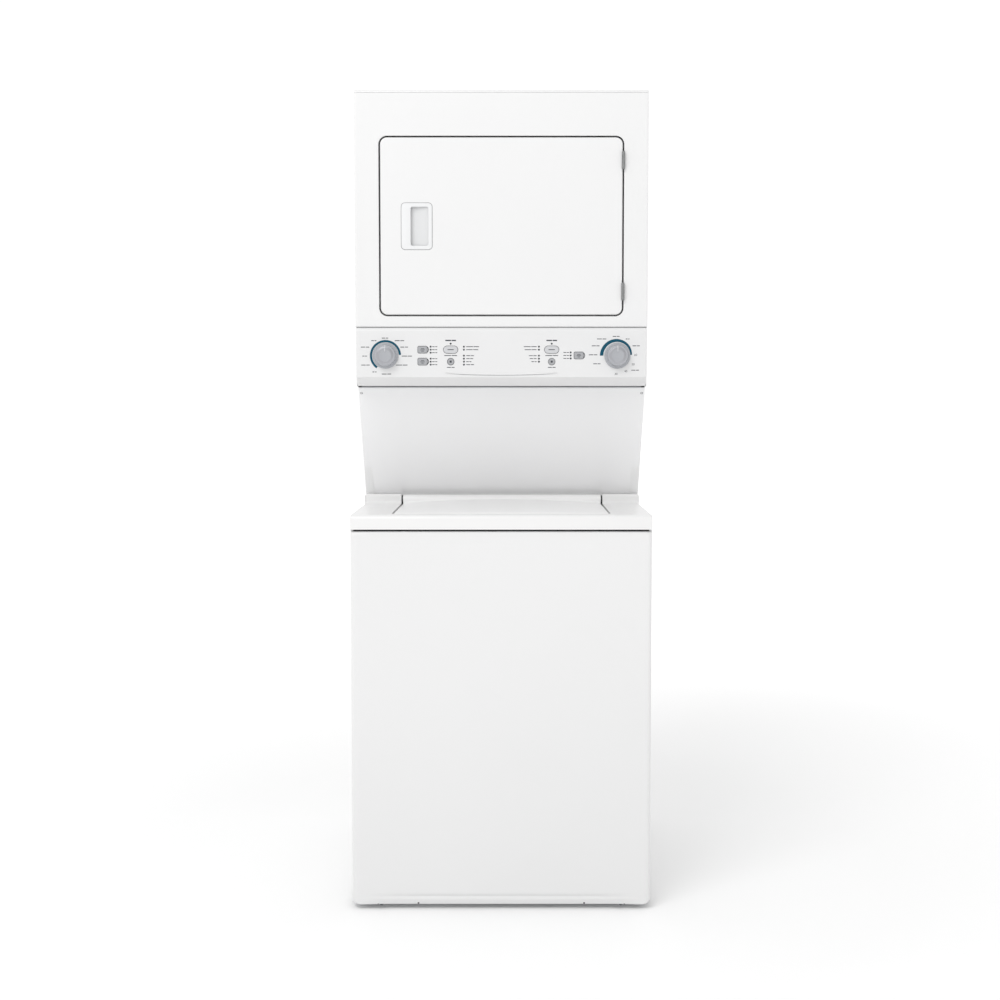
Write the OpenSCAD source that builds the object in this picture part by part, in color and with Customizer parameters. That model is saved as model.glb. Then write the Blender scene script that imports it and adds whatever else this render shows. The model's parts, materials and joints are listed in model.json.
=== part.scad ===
// Stacked laundry centre: a top-loading washer with a dryer mounted above it.
// Frame: origin on the floor under the middle of the body, +X to the right, +Y to the back, +Z up.

/* [Overall] */
// Width of the washer and dryer cabinets
overall_w = 686; // [676:1:696]
// Depth from the washer front to the end of the exhaust collar
overall_d = 800; // [795:1:815]
// Distance of the dryer front behind the washer front
dryer_setback = 160; // [156:1:164]

/* [Heights] */
// Height of the washer deck above the floor
deck_h = 912; // [906:1:920]
// Height of the open recess between the deck and the console
recess_h = 293; // [288:1:300]
// Height of the control console
console_h = 136; // [132:1:140]
// Height of the dryer front above the console
dryer_h = 549; // [545:1:560]

/* [Lid and door] */
// Width of the washer lid
lid_w = 496; // [484:1:500]
// Width of the dryer door
door_w = 566; // [560:1:570]
// Height of the dryer door
door_h = 411; // [406:1:414]

/* [Washer drive] */
// Outer radius of the wash tub
tub_r = 290; // [280:1:292]
// Radius of the pulley under the tub
drive_pulley_r = 95; // [90:1:100]
// Radius of the motor's pulley
motor_pulley_r = 22; // [20:1:26]

/* [Dryer drive] */
// Outer radius of the dryer drum
drum_r = 290; // [280:1:292]
// Radius of the drum motor's pulley
rotor_pulley_r = 11; // [9:1:13]

/* [Hidden] */
$fn = 64;

// Sheet and gaps
sheet = 1.2;
wall = 2;
panel_gap = 4;
door_gap = 3.5;

// Main planes
x_out = overall_w / 2;
y_front = -overall_d / 2;
collar_l = 30;
y_back = overall_d / 2 - collar_l;
y_dryer = y_front + dryer_setback;
floor_gap = 11;

// Heights of the washer's edges
band_h = 33;
riser_h = 23;
band_z = deck_h - band_h;
panel_top_z = band_z - panel_gap;
riser_z = deck_h + riser_h;
riser_y = y_front + 378;

// Heights of the dryer's edges
console_z = deck_h + recess_h;
console_top_z = console_z + console_h;
dryer_z = console_top_z + 2;
top_z = dryer_z + dryer_h;
drum_z = top_z - 322;
door_z = top_z - 315;

// Lid and its hinge
lid_y0 = y_front + 46;
hinge_y = riser_y + 12;
hinge_z = deck_h + 9;
barrel_r = 12;
lid_pin_r = 4;
lid_crown = 10;
lid_gap = 4;
well_x = lid_w / 2 + lid_gap;
well_y0 = lid_y0 - lid_gap;
well_y1 = hinge_y + 15;

// Tub, basket and agitator share one vertical axis
tub_y = y_front + 330;
tub_z = 255;
tub_top_z = deck_h - 112;
basket_r = tub_r - 28;
basket_z = tub_z + 35;
basket_top_z = tub_top_z - 12;
rod_offset = 232;
rod_foot_z = 292;
ear_z = 345;
spring_h = ear_z - rod_foot_z - 8.5;

// Washer drive, below the tub
belt_t = 3;
belt_z = 138;
belt_w = 14;
motor_x = 190;

// Dryer drum and its drive, on axes along Y
drum_y0 = y_dryer + 67;
drum_y1 = y_back - 58;
rotor_x = -200;
rotor_z = drum_z - 295;
belt_y = drum_y1 - 72;
belt_width_y = 10;

// Dryer door hinge axis
door_hinge_x = door_w / 2 + door_gap / 2;
door_hinge_y = y_dryer - 4.6;
knuckle_r = 3.5;
knuckle_l = 39;
hinge_zs = [door_z - 152, door_z + 152];
door_face_y = y_dryer - 1;

// Console face, knobs, buttons and lamps, as [x, z] on the face
face_y = y_dryer - 9;
knob_x = 272;
knob_z = console_z + 70.5;
start_xs = [-119, 118];
start_z = console_z + 84.5;
cancel_z = console_z + 56.5;
option_x = -185;
temp_x = 181.5;
temp_z = console_z + 71;
lamp_step = 7;
button_travel = 1.5;
switch_h = 2.6 - button_travel;
exhaust_x = rotor_x;
exhaust_z = console_z - 145;
exhaust_r = 50.8;
duct_y = 37.5;
lamps = concat(
    [for (i = [-1:1]) [option_x + 19, start_z + i * lamp_step]],
    [for (i = [-1:1]) [option_x + 19, cancel_z + i * lamp_step]],
    [for (i = [-1:1]) [temp_x - 19, temp_z + i * lamp_step]],
    [for (x = start_xs) [x, start_z + 14]],
    [for (i = [0:1], s = [-1, 1]) [s * 88, start_z + 7 - i * lamp_step]],
    [for (i = [0:2], s = [-1, 1]) [s * 88, start_z - 14 - i * lamp_step]],
    [[-88, start_z - 35]]
);

// ---------- helpers ----------

// A box between two corners
module box(x0, x1, y0, y1, z0, z1) {
    translate([x0, y0, z0]) cube([x1 - x0, y1 - y0, z1 - z0]);
}

// A rounded rectangle with true arcs, centred
module rrect(w, h, r) {
    square([w - 2 * r, h], center = true);
    square([w, h - 2 * r], center = true);
    for (x = [-1, 1], y = [-1, 1]) translate([x * (w / 2 - r), y * (h / 2 - r)]) circle(r);
}

// Extrudes an [x, z] outline along Y
module along_y(y0, y1) {
    translate([0, y1, 0]) rotate([90, 0, 0]) linear_extrude(y1 - y0) children();
}

// Extrudes a [y, z] outline along X
module along_x(x0, x1) {
    translate([x0, 0, 0]) rotate([90, 0, 90]) linear_extrude(x1 - x0) children();
}

// A round bar along Y
module bar_y(x, z, r, y0, y1) {
    translate([x, y1, z]) rotate([90, 0, 0]) cylinder(h = y1 - y0, r = r);
}

// A round bar along X
module bar_x(y, z, r, x0, x1) {
    translate([x0, y, z]) rotate([0, 90, 0]) cylinder(h = x1 - x0, r = r);
}

// A pipe through a list of points that lie on square corners
module pipe(points, r) {
    for (i = [0:len(points) - 2]) {
        a = points[i];
        d = points[i + 1] - a;
        upright = d.z < 0 ? [180, 0, 0] : [0, 0, 0];
        across = abs(d.x) > 0 ? [0, sign(d.x) * 90, 0] : [-sign(d.y) * 90, 0, 0];
        translate(a) rotate(abs(d.z) > 0 ? upright : across) cylinder(h = norm(d), r = r);
        if (i > 0) translate(a) sphere(r);
    }
}

// A belt of thickness t and width w, round a big pulley at the origin and a small one on the X axis
module belt_loop(big_r, small_r, span, t, w) {
    a = acos((big_r - small_r) / span);
    linear_extrude(w) difference() {
        polygon(belt_line(big_r + t, small_r + t, span, a));
        polygon(belt_line(big_r, small_r, span, a));
    }
}

function belt_line(big_r, small_r, span, a) =
    concat(arc([0, 0], big_r, a, 360 - a, 72), arc([span, 0], small_r, -a, a, 24));

// Points along an arc about a centre, from one angle to another
function arc(c, r, a0, a1, n = 8) = [
    for (i = [0:n]) let (a = a0 + (a1 - a0) * i / n) c + r * [cos(a), sin(a)]
];

// ---------- washer cabinet ----------

foot_x = x_out - 25;
foot_ys = [y_front + 55, y_back - 45];

module leveling_feet() {
    color("dimgray") for (x = [-1, 1] * foot_x, y = foot_ys) translate([x, y, 0]) {
        cylinder(h = 6, r = 18);
        translate([0, 0, 6]) cylinder(h = 2, r1 = 16, r2 = 10);
        translate([0, 0, 8]) cylinder(h = 5.9, r = 9, $fn = 6);
        translate([0, 0, 8]) cylinder(h = 50, r = 5);
    }
}

module base_frame() {
    rail = 30;
    z0 = 14;
    z1 = 40;
    low = [-x_out + sheet + 0.3, y_front + 18.3];
    high = [x_out - sheet - 0.3, y_back - sheet - 0.3];
    color("silver") difference() {
        union() {
            difference() {
                box(low.x, high.x, low.y, high.y, z0, z1);
                box(low.x + 2, high.x - 2, low.y + 2, high.y - 2, z0 + 2, z1 + 1);
                box(low.x + rail, high.x - rail, low.y + rail, high.y - rail, z0 - 1, z1 + 1);
            }
            for (x = [-1, 1] * (foot_x - 12), y = foot_ys)
                translate([x, y, (z0 + z1) / 2 - 5]) cube([58, 58, z1 - z0 - 10], center = true);
            box(pump_x - 45, pump_x + 45, low.y + 1, high.y - 1, z0, z0 + 3);
            for (x = [-1, 1] * 42) box(pump_x + x - 3, pump_x + x + 3, low.y + 1, high.y - 1, z0, z0 + 22);
        }
        for (x = [-1, 1] * foot_x, y = foot_ys) translate([x, y, 0]) cylinder(h = 60, r = 5.5);
    }
}

drain_x = -300;
drain_z = deck_h - 72;
drain_r = 15;

rod_plate_z = band_z - 16;

module washer_cabinet() {
    flange = 18;
    plate_l = x_out - rod_offset + 18;
    color("white") difference() {
        union() {
            translate([0, 0, floor_gap + 3]) linear_extrude(band_z - floor_gap - 3) difference() {
                translate([-x_out, y_front + 16]) square([overall_w, y_back - y_front - 16]);
                translate([-x_out + sheet, y_front + 16 + sheet])
                    square([overall_w - 2 * sheet, y_back - y_front - 16 - 2 * sheet]);
                translate([-x_out + flange, y_front]) square([overall_w - 2 * flange, 40]);
            }
            for (s = [-1, 1], y = [-1, 1] * rod_offset)
                translate([s * (x_out - plate_l / 2 - 0.1), tub_y + y, rod_plate_z])
                    cube([plate_l, 40, 3], center = true);
        }
        rod_places() translate([0, 0, rod_plate_z - 5]) cylinder(h = 10, r = 4.6);
        bar_y(drain_x, drain_z, drain_r + 2, y_back - 10, y_back + 1);
        for (s = [-1, 1]) bar_y(valve_x + s * valve_pitch / 2, valve_z, 14.2, y_back - 10, y_back + 1);
    }
}

module washer_front_panel() {
    depth = 14;
    r = 10;
    color("white") {
        translate([0, 0, floor_gap]) linear_extrude(panel_top_z - floor_gap) difference() {
            front_outline(x_out, r, depth);
            front_outline(x_out - sheet, r - sheet, depth + 1, sheet);
        }
        for (z = [floor_gap, panel_top_z - sheet])
            translate([0, 0, z]) linear_extrude(sheet) front_outline(x_out, r, depth);
    }
}

// The plan of the washer's front with rounded corners
module front_outline(half_w, r, depth, inset = 0) {
    intersection() {
        translate([-half_w, y_front + inset]) square([2 * half_w, depth - inset]);
        union() {
            translate([-half_w, y_front + inset + r]) square([2 * half_w, depth]);
            translate([-half_w + r, y_front + inset]) square([2 * (half_w - r), depth]);
            for (s = [-1, 1]) translate([s * (half_w - r), y_front + inset + r]) circle(r);
        }
    }
}

module washer_deck() {
    nose_r = 10;
    well_z = deck_h - 15;
    collar_z = deck_h - 42;
    color("white") difference() {
        union() {
            difference() {
                deck_solid(0, nose_r);
                deck_solid(sheet, nose_r - sheet);
            }
            translate([0, 0, well_z])
                box(-well_x - sheet, well_x + sheet, well_y0 - sheet, well_y1 + sheet, -sheet, 14);
            for (s = [-1, 1]) translate([s * (well_x + 7), 0, 0])
                box(-7, 7, hinge_y - 10, well_y1, deck_h - 10, riser_z - 1);
            box(-well_x - sheet, well_x + sheet, well_y1, well_y1 + sheet, well_z, riser_z - 1);
            translate([0, 0, collar_z]) linear_extrude(well_z - collar_z) access_outline(0);
        }
        box(-well_x, well_x, well_y0, well_y1, well_z, riser_z + 1);
        translate([0, 0, collar_z - 1]) linear_extrude(100) access_outline(sheet);
        bar_x(hinge_y, hinge_z, lid_pin_r + 0.08, -well_x - 20, well_x + 20);
    }
}

// The rounded hole that laundry goes through
module access_outline(inset) {
    y0 = well_y0 + 22;
    y1 = riser_y - 24;
    translate([0, (y0 + y1) / 2]) rrect(lid_w - 46 - 2 * inset, y1 - y0 - 2 * inset, 60 - inset);
}

// The deck's outer form, or with an inset the space inside its sheet, open below
module deck_solid(inset, r) {
    low = band_z - inset;
    x = x_out - inset;
    y0 = y_front + inset;
    y1 = y_back - inset;
    box(-x, x, y0, y1, low, deck_h - inset - r);
    box(-x, x, y0 + r, y1, low, deck_h - inset);
    box(-x, x, riser_y + inset, y1, low, riser_z - inset);
    bar_x(y0 + r, deck_h - inset - r, r, -x, x);
}

// ---------- lid ----------

module washer_lid() {
    color("white") {
        difference() {
            lid_solid(0);
            lid_solid(sheet);
        }
        difference() {
            bar_x(hinge_y, hinge_z, barrel_r, -lid_w / 2, lid_w / 2);
            bar_x(hinge_y, hinge_z, barrel_r - sheet, -lid_w / 2 + sheet, lid_w / 2 - sheet);
        }
        for (s = [-1, 1]) translate([s * (lid_w / 2 + 5), 0, 0]) bar_x(hinge_y, hinge_z, lid_pin_r, -7, 7);
    }
}

// The lid's flat plate with a crown that rises towards the hinge
module lid_solid(inset) {
    crown_r = pow(lid_w / 2, 2) / (2 * lid_crown);
    lid_l = riser_y - lid_y0;
    tilt = atan((lid_crown - 1.5) / lid_l);
    low = deck_h - 9 - inset * 2;
    x = lid_w / 2 - inset;
    y0 = lid_y0 + inset;
    y1 = riser_y + 6 - inset;
    box(-x, x, y0, y1, low, deck_h - inset);
    intersection() {
        box(-x, x, y0, y1, deck_h - 6, deck_h + 20);
        translate([0, lid_y0, deck_h + 1.5 - inset - crown_r]) rotate([tilt - 90, 0, 0])
            translate([0, 0, -50]) cylinder(h = lid_l + 120, r = crown_r);
    }
}

module lid_liner() {
    color("whitesmoke") {
        translate([0, 0, deck_h - 13]) linear_extrude(3.9) lid_liner_outline();
        for (x = [-1, 1] * 190) translate([x, lid_y0 + 14, deck_h - 14.8]) cylinder(h = 3, r = 6);
        box(140, 168, lid_y0 + 2.5, lid_y0 + 8, deck_h - 14, deck_h - 9.1);
    }
}

module lid_liner_outline() {
    y0 = lid_y0 + 6;
    y1 = riser_y - 4;
    translate([0, (y0 + y1) / 2]) rrect(lid_w - 12, y1 - y0, 24);
}

module lid_lock() {
    color("dimgray") {
        box(118, 190, y_front + 6, well_y0 - sheet - 0.5, deck_h - 30, deck_h - 6);
        box(140, 168, y_front + 6, well_y0 - sheet - 0.5, deck_h - 35, deck_h - 29);
    }
}

// ---------- tub and basket ----------

module at_tub() {
    translate([0, tub_y, 0]) children();
}

module rod_places() {
    for (x = [-1, 1], y = [-1, 1]) translate([x * rod_offset, tub_y + y * rod_offset, 0]) children();
}

pump_x = -150;
pump_y = tub_y + 120;

module outer_tub() {
    shell = 4;
    ring_r = tub_r - 72;
    color("lightgray") difference() {
        union() {
            at_tub() rotate_extrude() {
                translate([30, tub_z]) square([tub_r - 30, 6]);
                translate([tub_r - shell, tub_z]) square([shell, tub_top_z - tub_z]);
                translate([ring_r, tub_top_z - 1]) square([tub_r + 4 - ring_r, 6]);
                translate([ring_r, tub_top_z - 5]) square([4, 24]);
                translate([30, tub_z]) square([10, 26]);
            }
            for (a = [45:90:315]) at_tub() rotate(a) box(tub_r - 3, tub_r + 56, -20, 20, ear_z, ear_z + 12);
            translate([pump_x, pump_y, tub_z - 24]) cylinder(h = 25, r = 24);
        }
        rod_places() translate([0, 0, ear_z - 1]) cylinder(h = 20, r = 6.5);
        translate([pump_x, pump_y, tub_z - 30]) cylinder(h = 50, r = 20);
    }
}

module wash_basket() {
    color("silver") at_tub() rotate_extrude() {
        translate([basket_r - sheet, basket_z]) square([sheet, basket_top_z - basket_z - 4]);
        translate([60, basket_z]) square([basket_r - 60, 2]);
        translate([11, basket_z - 6]) square([52, 12]);
        translate([11, tub_z - 40]) square([9, basket_z - tub_z + 41]);
    }
}

module balance_ring() {
    color("gainsboro") at_tub() rotate_extrude() {
        translate([basket_r - sheet - 0.3, basket_top_z - 32]) difference() {
            translate([-34, 0]) square([34, 34]);
            translate([-30, 4]) square([26, 26]);
        }
    }
}

module agitator() {
    base_z = basket_z + 22;
    post_top = tub_top_z - 90;
    skirt_r = 185;
    color("whitesmoke") at_tub() {
        rotate_extrude() polygon(concat(
            [[10, base_z], [skirt_r, base_z], [skirt_r, base_z + 6]],
            arc([skirt_r + 20, base_z + 150], 145, 262, 188),
            [[52, post_top - 10], [44, post_top], [10, post_top]]
        ));
        for (a = [0:90:270]) rotate(a) along_y(-5, 5) translate([0, base_z]) polygon([
            [48, 4], [176, 4], [176, 34], [110, 84], [70, 260], [48, 262]
        ]);
        translate([0, 0, tub_z - 50]) cylinder(h = base_z - tub_z + 60, r = 10.3);
    }
}

module suspension_rods() {
    color("gray") rod_places() {
        translate([0, 0, rod_foot_z]) cylinder(h = rod_plate_z + 9 - rod_foot_z, r = 4);
        translate([0, 0, rod_foot_z]) cylinder(h = 8, r = 17);
        translate([0, 0, rod_plate_z + 1.6]) cylinder(h = 6, r = 10);
    }
}

module suspension_springs() {
    color("silver") rod_places() translate([0, 0, rod_foot_z + 8.3]) difference() {
        cylinder(h = spring_h, r = 14);
        translate([0, 0, -1]) cylinder(h = spring_h + 2, r = 9);
    }
}

module gearcase() {
    color("dimgray") at_tub() rotate_extrude() {
        translate([21, 170]) square([54, tub_z - 175]);
        translate([21, tub_z - 6]) square([95, 5.9]);
    }
}

module drive_pulley() {
    color("silver") at_tub() rotate_extrude() {
        translate([0, belt_z - 3]) square([30, 20]);
        translate([28, belt_z + 4]) square([drive_pulley_r - 30, 5]);
        translate([drive_pulley_r - 4, belt_z - 3]) square([4, 20]);
        translate([0, belt_z + 16]) square([18, 46]);
    }
}

module drive_belt() {
    slack = 0.3;
    color("black") at_tub() translate([0, 0, belt_z])
        belt_loop(drive_pulley_r + slack, motor_pulley_r + slack, motor_x, belt_t, belt_w);
}

module washer_motor() {
    color("gray") at_tub() translate([motor_x, 0, 0]) difference() {
        union() {
            translate([0, 0, 168]) cylinder(h = 72, r = 58);
            translate([0, 0, 239]) cylinder(h = tub_z - 239.1, r = 40);
            for (a = [0:60:300]) rotate(a) translate([52, -4, 176]) cube([12, 8, 56]);
        }
        translate([0, 0, 160]) cylinder(h = 24, r = 8);
    }
}

module motor_pulley() {
    color("silver") at_tub() translate([motor_x, 0, 0]) {
        translate([0, 0, belt_z - 4]) cylinder(h = 20, r = motor_pulley_r);
        translate([0, 0, belt_z]) cylinder(h = 42, r = 7);
    }
}

module drain_pump() {
    color("dimgray") translate([pump_x, pump_y, 0]) {
        translate([0, 0, 17.2]) cylinder(h = 90, r = 38);
        translate([0, 0, 106]) cylinder(h = tub_z - 113, r = 18);
        translate([-30, 0, 60]) rotate([0, -90, 0]) cylinder(h = 28, r = 13);
    }
}

module drain_hose() {
    route = [
        [pump_x - 58.2, pump_y, 60], [drain_x, pump_y, 60], [drain_x, y_back - 30, 60],
        [drain_x, y_back - 30, drain_z], [drain_x, y_back + 22, drain_z]
    ];
    color("gray") {
        pipe(route, 12);
        bar_y(drain_x, drain_z, drain_r, y_back - 12, y_back + 24);
    }
}

// ---------- water inlet and rear ----------

valve_x = 215;
valve_z = deck_h - 60;
valve_pitch = 60;
port_r = 13.3;

module water_valve() {
    spout_z = valve_z - 4;
    color("gray") {
        for (s = [-1, 1]) {
            bar_y(valve_x + s * valve_pitch / 2, valve_z, port_r, y_back - 20, y_back + 18);
            bar_y(valve_x + s * valve_pitch / 2, valve_z, 18, y_back - 60, y_back - 4);
        }
        box(valve_x - 40, valve_x + 40, y_back - 70, y_back - 40, valve_z - 12, valve_z + 12);
        pipe([[valve_x, y_back - 50, spout_z], [valve_x, 60, spout_z], [120, 60, spout_z]], 9);
    }
}

panel_foot = [riser_y + 27, riser_z];
panel_head = [y_front + 221, console_z - 2.5];

slope = panel_head - panel_foot;
skin = sheet * norm(slope) / slope.y;

function slope_y(z) = panel_foot.x + (z - panel_foot.y) * slope.x / slope.y;

module side_outline() {
    polygon([
        panel_foot + [skin + 0.2, 0], [y_back, riser_z], [y_back, top_z - sheet],
        [y_dryer + 8, top_z - sheet], [y_dryer + 8, dryer_z], [y_dryer + 22, dryer_z],
        [y_dryer + 22, console_z], panel_head + [skin + 0.2, 0]
    ]);
}

// A side sheet, and the sloping flange behind the access panel's edge
module side_panel(s) {
    flange = 20;
    edge = skin + 0.2;
    color("white") {
        along_x(s > 0 ? x_out - sheet : -x_out, s > 0 ? x_out : -x_out + sheet) side_outline();
        along_x(s > 0 ? x_out - flange : -x_out, s > 0 ? x_out : -x_out + flange) polygon([
            panel_foot + [edge, 0], panel_head + [edge, 0],
            panel_head + [edge + skin, 0], panel_foot + [edge + skin, 0]
        ]);
    }
}

module side_panel_left() {
    side_panel(-1);
}

module side_panel_right() {
    side_panel(1);
}

// One folded sheet: a flange along the top, the slope, and a flange along the bottom
module access_panel() {
    flange = 22;
    inset = 22;
    color("white") {
        along_x(-x_out + 0.5, x_out - 0.5) polygon([
            panel_foot, panel_head, panel_head + [skin, 0], panel_foot + [skin, 0]
        ]);
        along_x(-x_out + inset, x_out - inset) polygon([
            panel_foot, panel_head, panel_head + [flange, 0], panel_head + [flange, -sheet],
            [slope_y(panel_head.y - sheet) + skin, panel_head.y - sheet],
            [slope_y(panel_foot.y + sheet) + skin, panel_foot.y + sheet],
            panel_foot + [flange, sheet], panel_foot + [flange, 0]
        ]);
    }
}

module rear_panel() {
    color("silver") difference() {
        along_y(y_back - sheet, y_back) translate([0, (riser_z + top_z - sheet) / 2])
            square([overall_w - 2 * sheet - 1, top_z - sheet - riser_z - 1], center = true);
        bar_y(exhaust_x, exhaust_z, exhaust_r + 1.5, y_back - 10, y_back + 1);
        for (x = [-150:50:150], z = [0, 1]) translate([x, y_back, top_z - 120 - z * 60])
            cube([8, 10, 40], center = true);
    }
    color("silver") {
        box(200, 300, y_back - 0.1, y_back + 14, console_z + 40, console_z + 130);
        bar_y(250, console_z + 70, 16, y_back + 13, y_back + 20);
    }
}

module dryer_top() {
    r = 6;
    color("white") {
        box(-x_out, x_out, y_dryer + r, y_back, top_z - sheet, top_z);
        difference() {
            bar_x(y_dryer + r, top_z - r, r, -x_out, x_out);
            bar_x(y_dryer + r, top_z - r, r - sheet, -x_out - 1, x_out + 1);
            box(-x_out - 1, x_out + 1, y_dryer + r, y_dryer + 3 * r, top_z - 3 * r, top_z + 1);
            box(-x_out - 1, x_out + 1, y_dryer - 1, y_dryer + 3 * r, top_z - 3 * r, top_z - r);
        }
    }
}

// ---------- dryer shell ----------

well_depth = 22;
well_floor_y = y_dryer + well_depth;
opening_w = 420;
opening_h = 330;
opening_r = 120;
strike_x = -242;

module door_hole(inset) {
    grow = 2 * (door_gap - inset);
    translate([0, door_z]) rrect(door_w + grow, door_h + grow, 19 - inset);
}

module drum_hole(inset) {
    translate([0, door_z]) rrect(opening_w - 2 * inset, opening_h - 2 * inset, opening_r - inset);
}

module dryer_front_panel() {
    r = 6;
    color("white") {
        difference() {
            union() {
                box(-x_out + r, x_out - r, y_dryer, y_dryer + sheet, dryer_z, top_z - 6.1);
                for (s = [-1, 1]) translate([s * (x_out - r), y_dryer + r, dryer_z]) difference() {
                    cylinder(h = top_z - 6.1 - dryer_z, r = r);
                    translate([0, 0, -1]) cylinder(h = 700, r = r - sheet);
                    translate([s > 0 ? -2 * r : 0, -2 * r, -1]) cube([2 * r, 4 * r, 700]);
                    translate([-2 * r, 0, -1]) cube([4 * r, 2 * r, 700]);
                }
            }
            along_y(y_dryer - 1, y_dryer + 10) door_hole(0);
        }
        difference() {
            along_y(y_dryer, well_floor_y) door_hole(-sheet);
            along_y(y_dryer - 1, well_floor_y - sheet) door_hole(0);
            along_y(y_dryer, well_floor_y + 1) drum_hole(0);
            box(strike_x - 8, strike_x + 8, y_dryer, well_floor_y + 1, door_z - 16, door_z + 16);
        }
    }
}

module dryer_base() {
    color("silver") difference() {
        box(-x_out + 3, x_out - 3, y_dryer + 26, y_back - 3, console_z, console_z + 4);
        box(exhaust_x - 52, exhaust_x + 52, duct_y - 38, duct_y + 38, console_z - 1, console_z + 5);
    }
}

module panel_screws() {
    color("gray") {
        for (s = [-1, 1]) translate([s * (x_out - 7), slope_y(panel_head.y - 13), panel_head.y - 13])
            rotate([atan2(slope.y, slope.x), 0, 0]) screw_head();
        for (s = [-1, 1]) translate([s * (x_out - 67), y_front + 9, floor_gap]) rotate([180, 0, 0])
            screw_head();
        for (s = [-1, 1], z = [riser_z + 30, console_z + 40, top_z - 40])
            translate([s * (x_out - 12), y_back, z]) rotate([-90, 0, 0]) screw_head();
    }
}

// A hexagon screw head with its washer face on the origin, standing up along +Z
module screw_head() {
    translate([0, 0, 0.1]) cylinder(h = 0.9, r = 4.9);
    translate([0, 0, 0.9]) cylinder(h = 2, r = 3.9, $fn = 6);
}

module front_bulkhead() {
    y0 = well_floor_y + 2;
    y1 = drum_y0 - 16;
    sill_z = door_z - opening_h / 2;
    slot_w = 230;
    duct_z = console_z + 12;
    duct_top = sill_z - 6;
    color("gainsboro") difference() {
        union() {
            along_y(y1 - 4, y1) translate([0, (console_z + 10 + top_z - 10) / 2])
                square([overall_w - 20, top_z - console_z - 30], center = true);
            along_y(y0, y1) drum_hole(-2.5);
            bar_y(0, drum_z, 244, y1 - 1, drum_y0 + 8);
            box(-slot_w / 2 - 4, slot_w / 2 + 4, y0, y1, duct_z, duct_top + 6);
            box(exhaust_x - 58, -slot_w / 2 + 4, y0, y1, duct_z, duct_z + 92);
            box(exhaust_x - 52, exhaust_x + 46, y1 - 1, duct_y - 36, duct_z, duct_z + 84);
        }
        bar_y(0, drum_z, 240, y1, drum_y0 + 9);
        along_y(y0 - 1, y1 + 1) drum_hole(0);
        box(-slot_w / 2, slot_w / 2, y0 + 3, y1 - 4, duct_z + 3, sill_z + 10);
        box(exhaust_x - 55, -slot_w / 2 + 10, y0 + 3, y1 - 4, duct_z + 3, duct_z + 89);
        box(exhaust_x - 49, exhaust_x + 43, y1 - 5, duct_y - 30, duct_z + 3, duct_z + 81);
    }
}

module rear_bulkhead() {
    color("silver") difference() {
        along_y(drum_y1 + 8, drum_y1 + 12) translate([0, (console_z + 10 + top_z - 10) / 2])
            square([overall_w - 20, top_z - console_z - 30], center = true);
        bar_y(0, drum_z, 8.3, drum_y1, drum_y1 + 20);
        for (a = [0:30:330]) bar_y(120 * cos(a), drum_z + 120 * sin(a), 20, drum_y1, drum_y1 + 20);
    }
}

module dryer_drum() {
    color("silver") difference() {
        union() {
            translate([0, drum_y1, drum_z]) rotate([90, 0, 0]) rotate_extrude() {
                translate([drum_r - sheet, 0]) square([sheet, drum_y1 - drum_y0]);
                square([drum_r, wall]);
                translate([252, drum_y1 - drum_y0 - wall]) square([drum_r - 252, wall]);
            }
            bar_y(0, drum_z, 8, drum_y1 - 1, drum_y1 + 20);
            for (a = [90:120:330]) translate([0, drum_y1 - 30, drum_z]) rotate([90, 0, 0]) rotate(a)
                linear_extrude(drum_y1 - drum_y0 - 70) lifter_outline();
        }
        for (a = [0:30:330], r = [110, 170])
            bar_y(r * cos(a), drum_z + r * sin(a), 9, drum_y1 - 10, drum_y1 + 10);
    }
}

// A folded lifter, hollow, with its feet on the drum wall
module lifter_outline() {
    polygon([
        [drum_r - 2, -26], [drum_r - 2, -22], [drum_r - 48, -5.5], [drum_r - 48, 5.5],
        [drum_r - 2, 22], [drum_r - 2, 26], [drum_r - 52, 8], [drum_r - 52, -8]
    ]);
}

// The drum belt's frame: the origin on the drum axis and the X axis towards the motor pulley
belt_span = norm([rotor_x, rotor_z - drum_z]);
belt_turn = atan2(rotor_z - drum_z, rotor_x);

module drum_belt() {
    slack = 0.3;
    color("black") translate([0, belt_y + belt_width_y, drum_z]) rotate([90, 0, 0]) rotate(belt_turn)
        belt_loop(drum_r + slack, rotor_pulley_r + slack, belt_span, 2, belt_width_y);
}

// The idler stands outside the belt's lower run, part of the way to the motor
idler_r = 20;
idler_at = 0.62;
tangent_a = acos((drum_r - rotor_pulley_r) / belt_span);
tangent = [cos(tangent_a), sin(tangent_a)];
run_start = drum_r * tangent;
run_end = [belt_span, 0] + rotor_pulley_r * tangent;
idler_local = run_start + idler_at * (run_end - run_start) + (idler_r + 2.9) * tangent;
idler_x = idler_local.x * cos(belt_turn) - idler_local.y * sin(belt_turn);
idler_z = drum_z + idler_local.x * sin(belt_turn) + idler_local.y * cos(belt_turn);
arm_pivot = [idler_x + 66, console_z + 20];

module idler_pulley() {
    color("dimgray") difference() {
        bar_y(idler_x, idler_z, idler_r, belt_y - 1, belt_y + belt_width_y + 1);
        bar_y(idler_x, idler_z, 5.08, belt_y - 2, belt_y + belt_width_y + 2);
    }
}

module idler_arm() {
    arm = [idler_x, idler_z] - arm_pivot;
    y0 = belt_y - 6;
    color("silver") difference() {
        union() {
            along_y(y0, y0 + 4) translate(arm_pivot) rotate(atan2(arm.y, arm.x)) {
                translate([0, -7]) square([norm(arm), 14]);
                circle(10);
                translate([norm(arm), 0]) circle(9);
            }
            bar_y(idler_x, idler_z, 5, y0 + 3, belt_y + belt_width_y + 3);
        }
        bar_y(arm_pivot.x, arm_pivot.y, 4.08, y0 - 1, y0 + 5);
    }
}

motor_y0 = 85;
motor_y1 = motor_y0 + 130;

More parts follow.
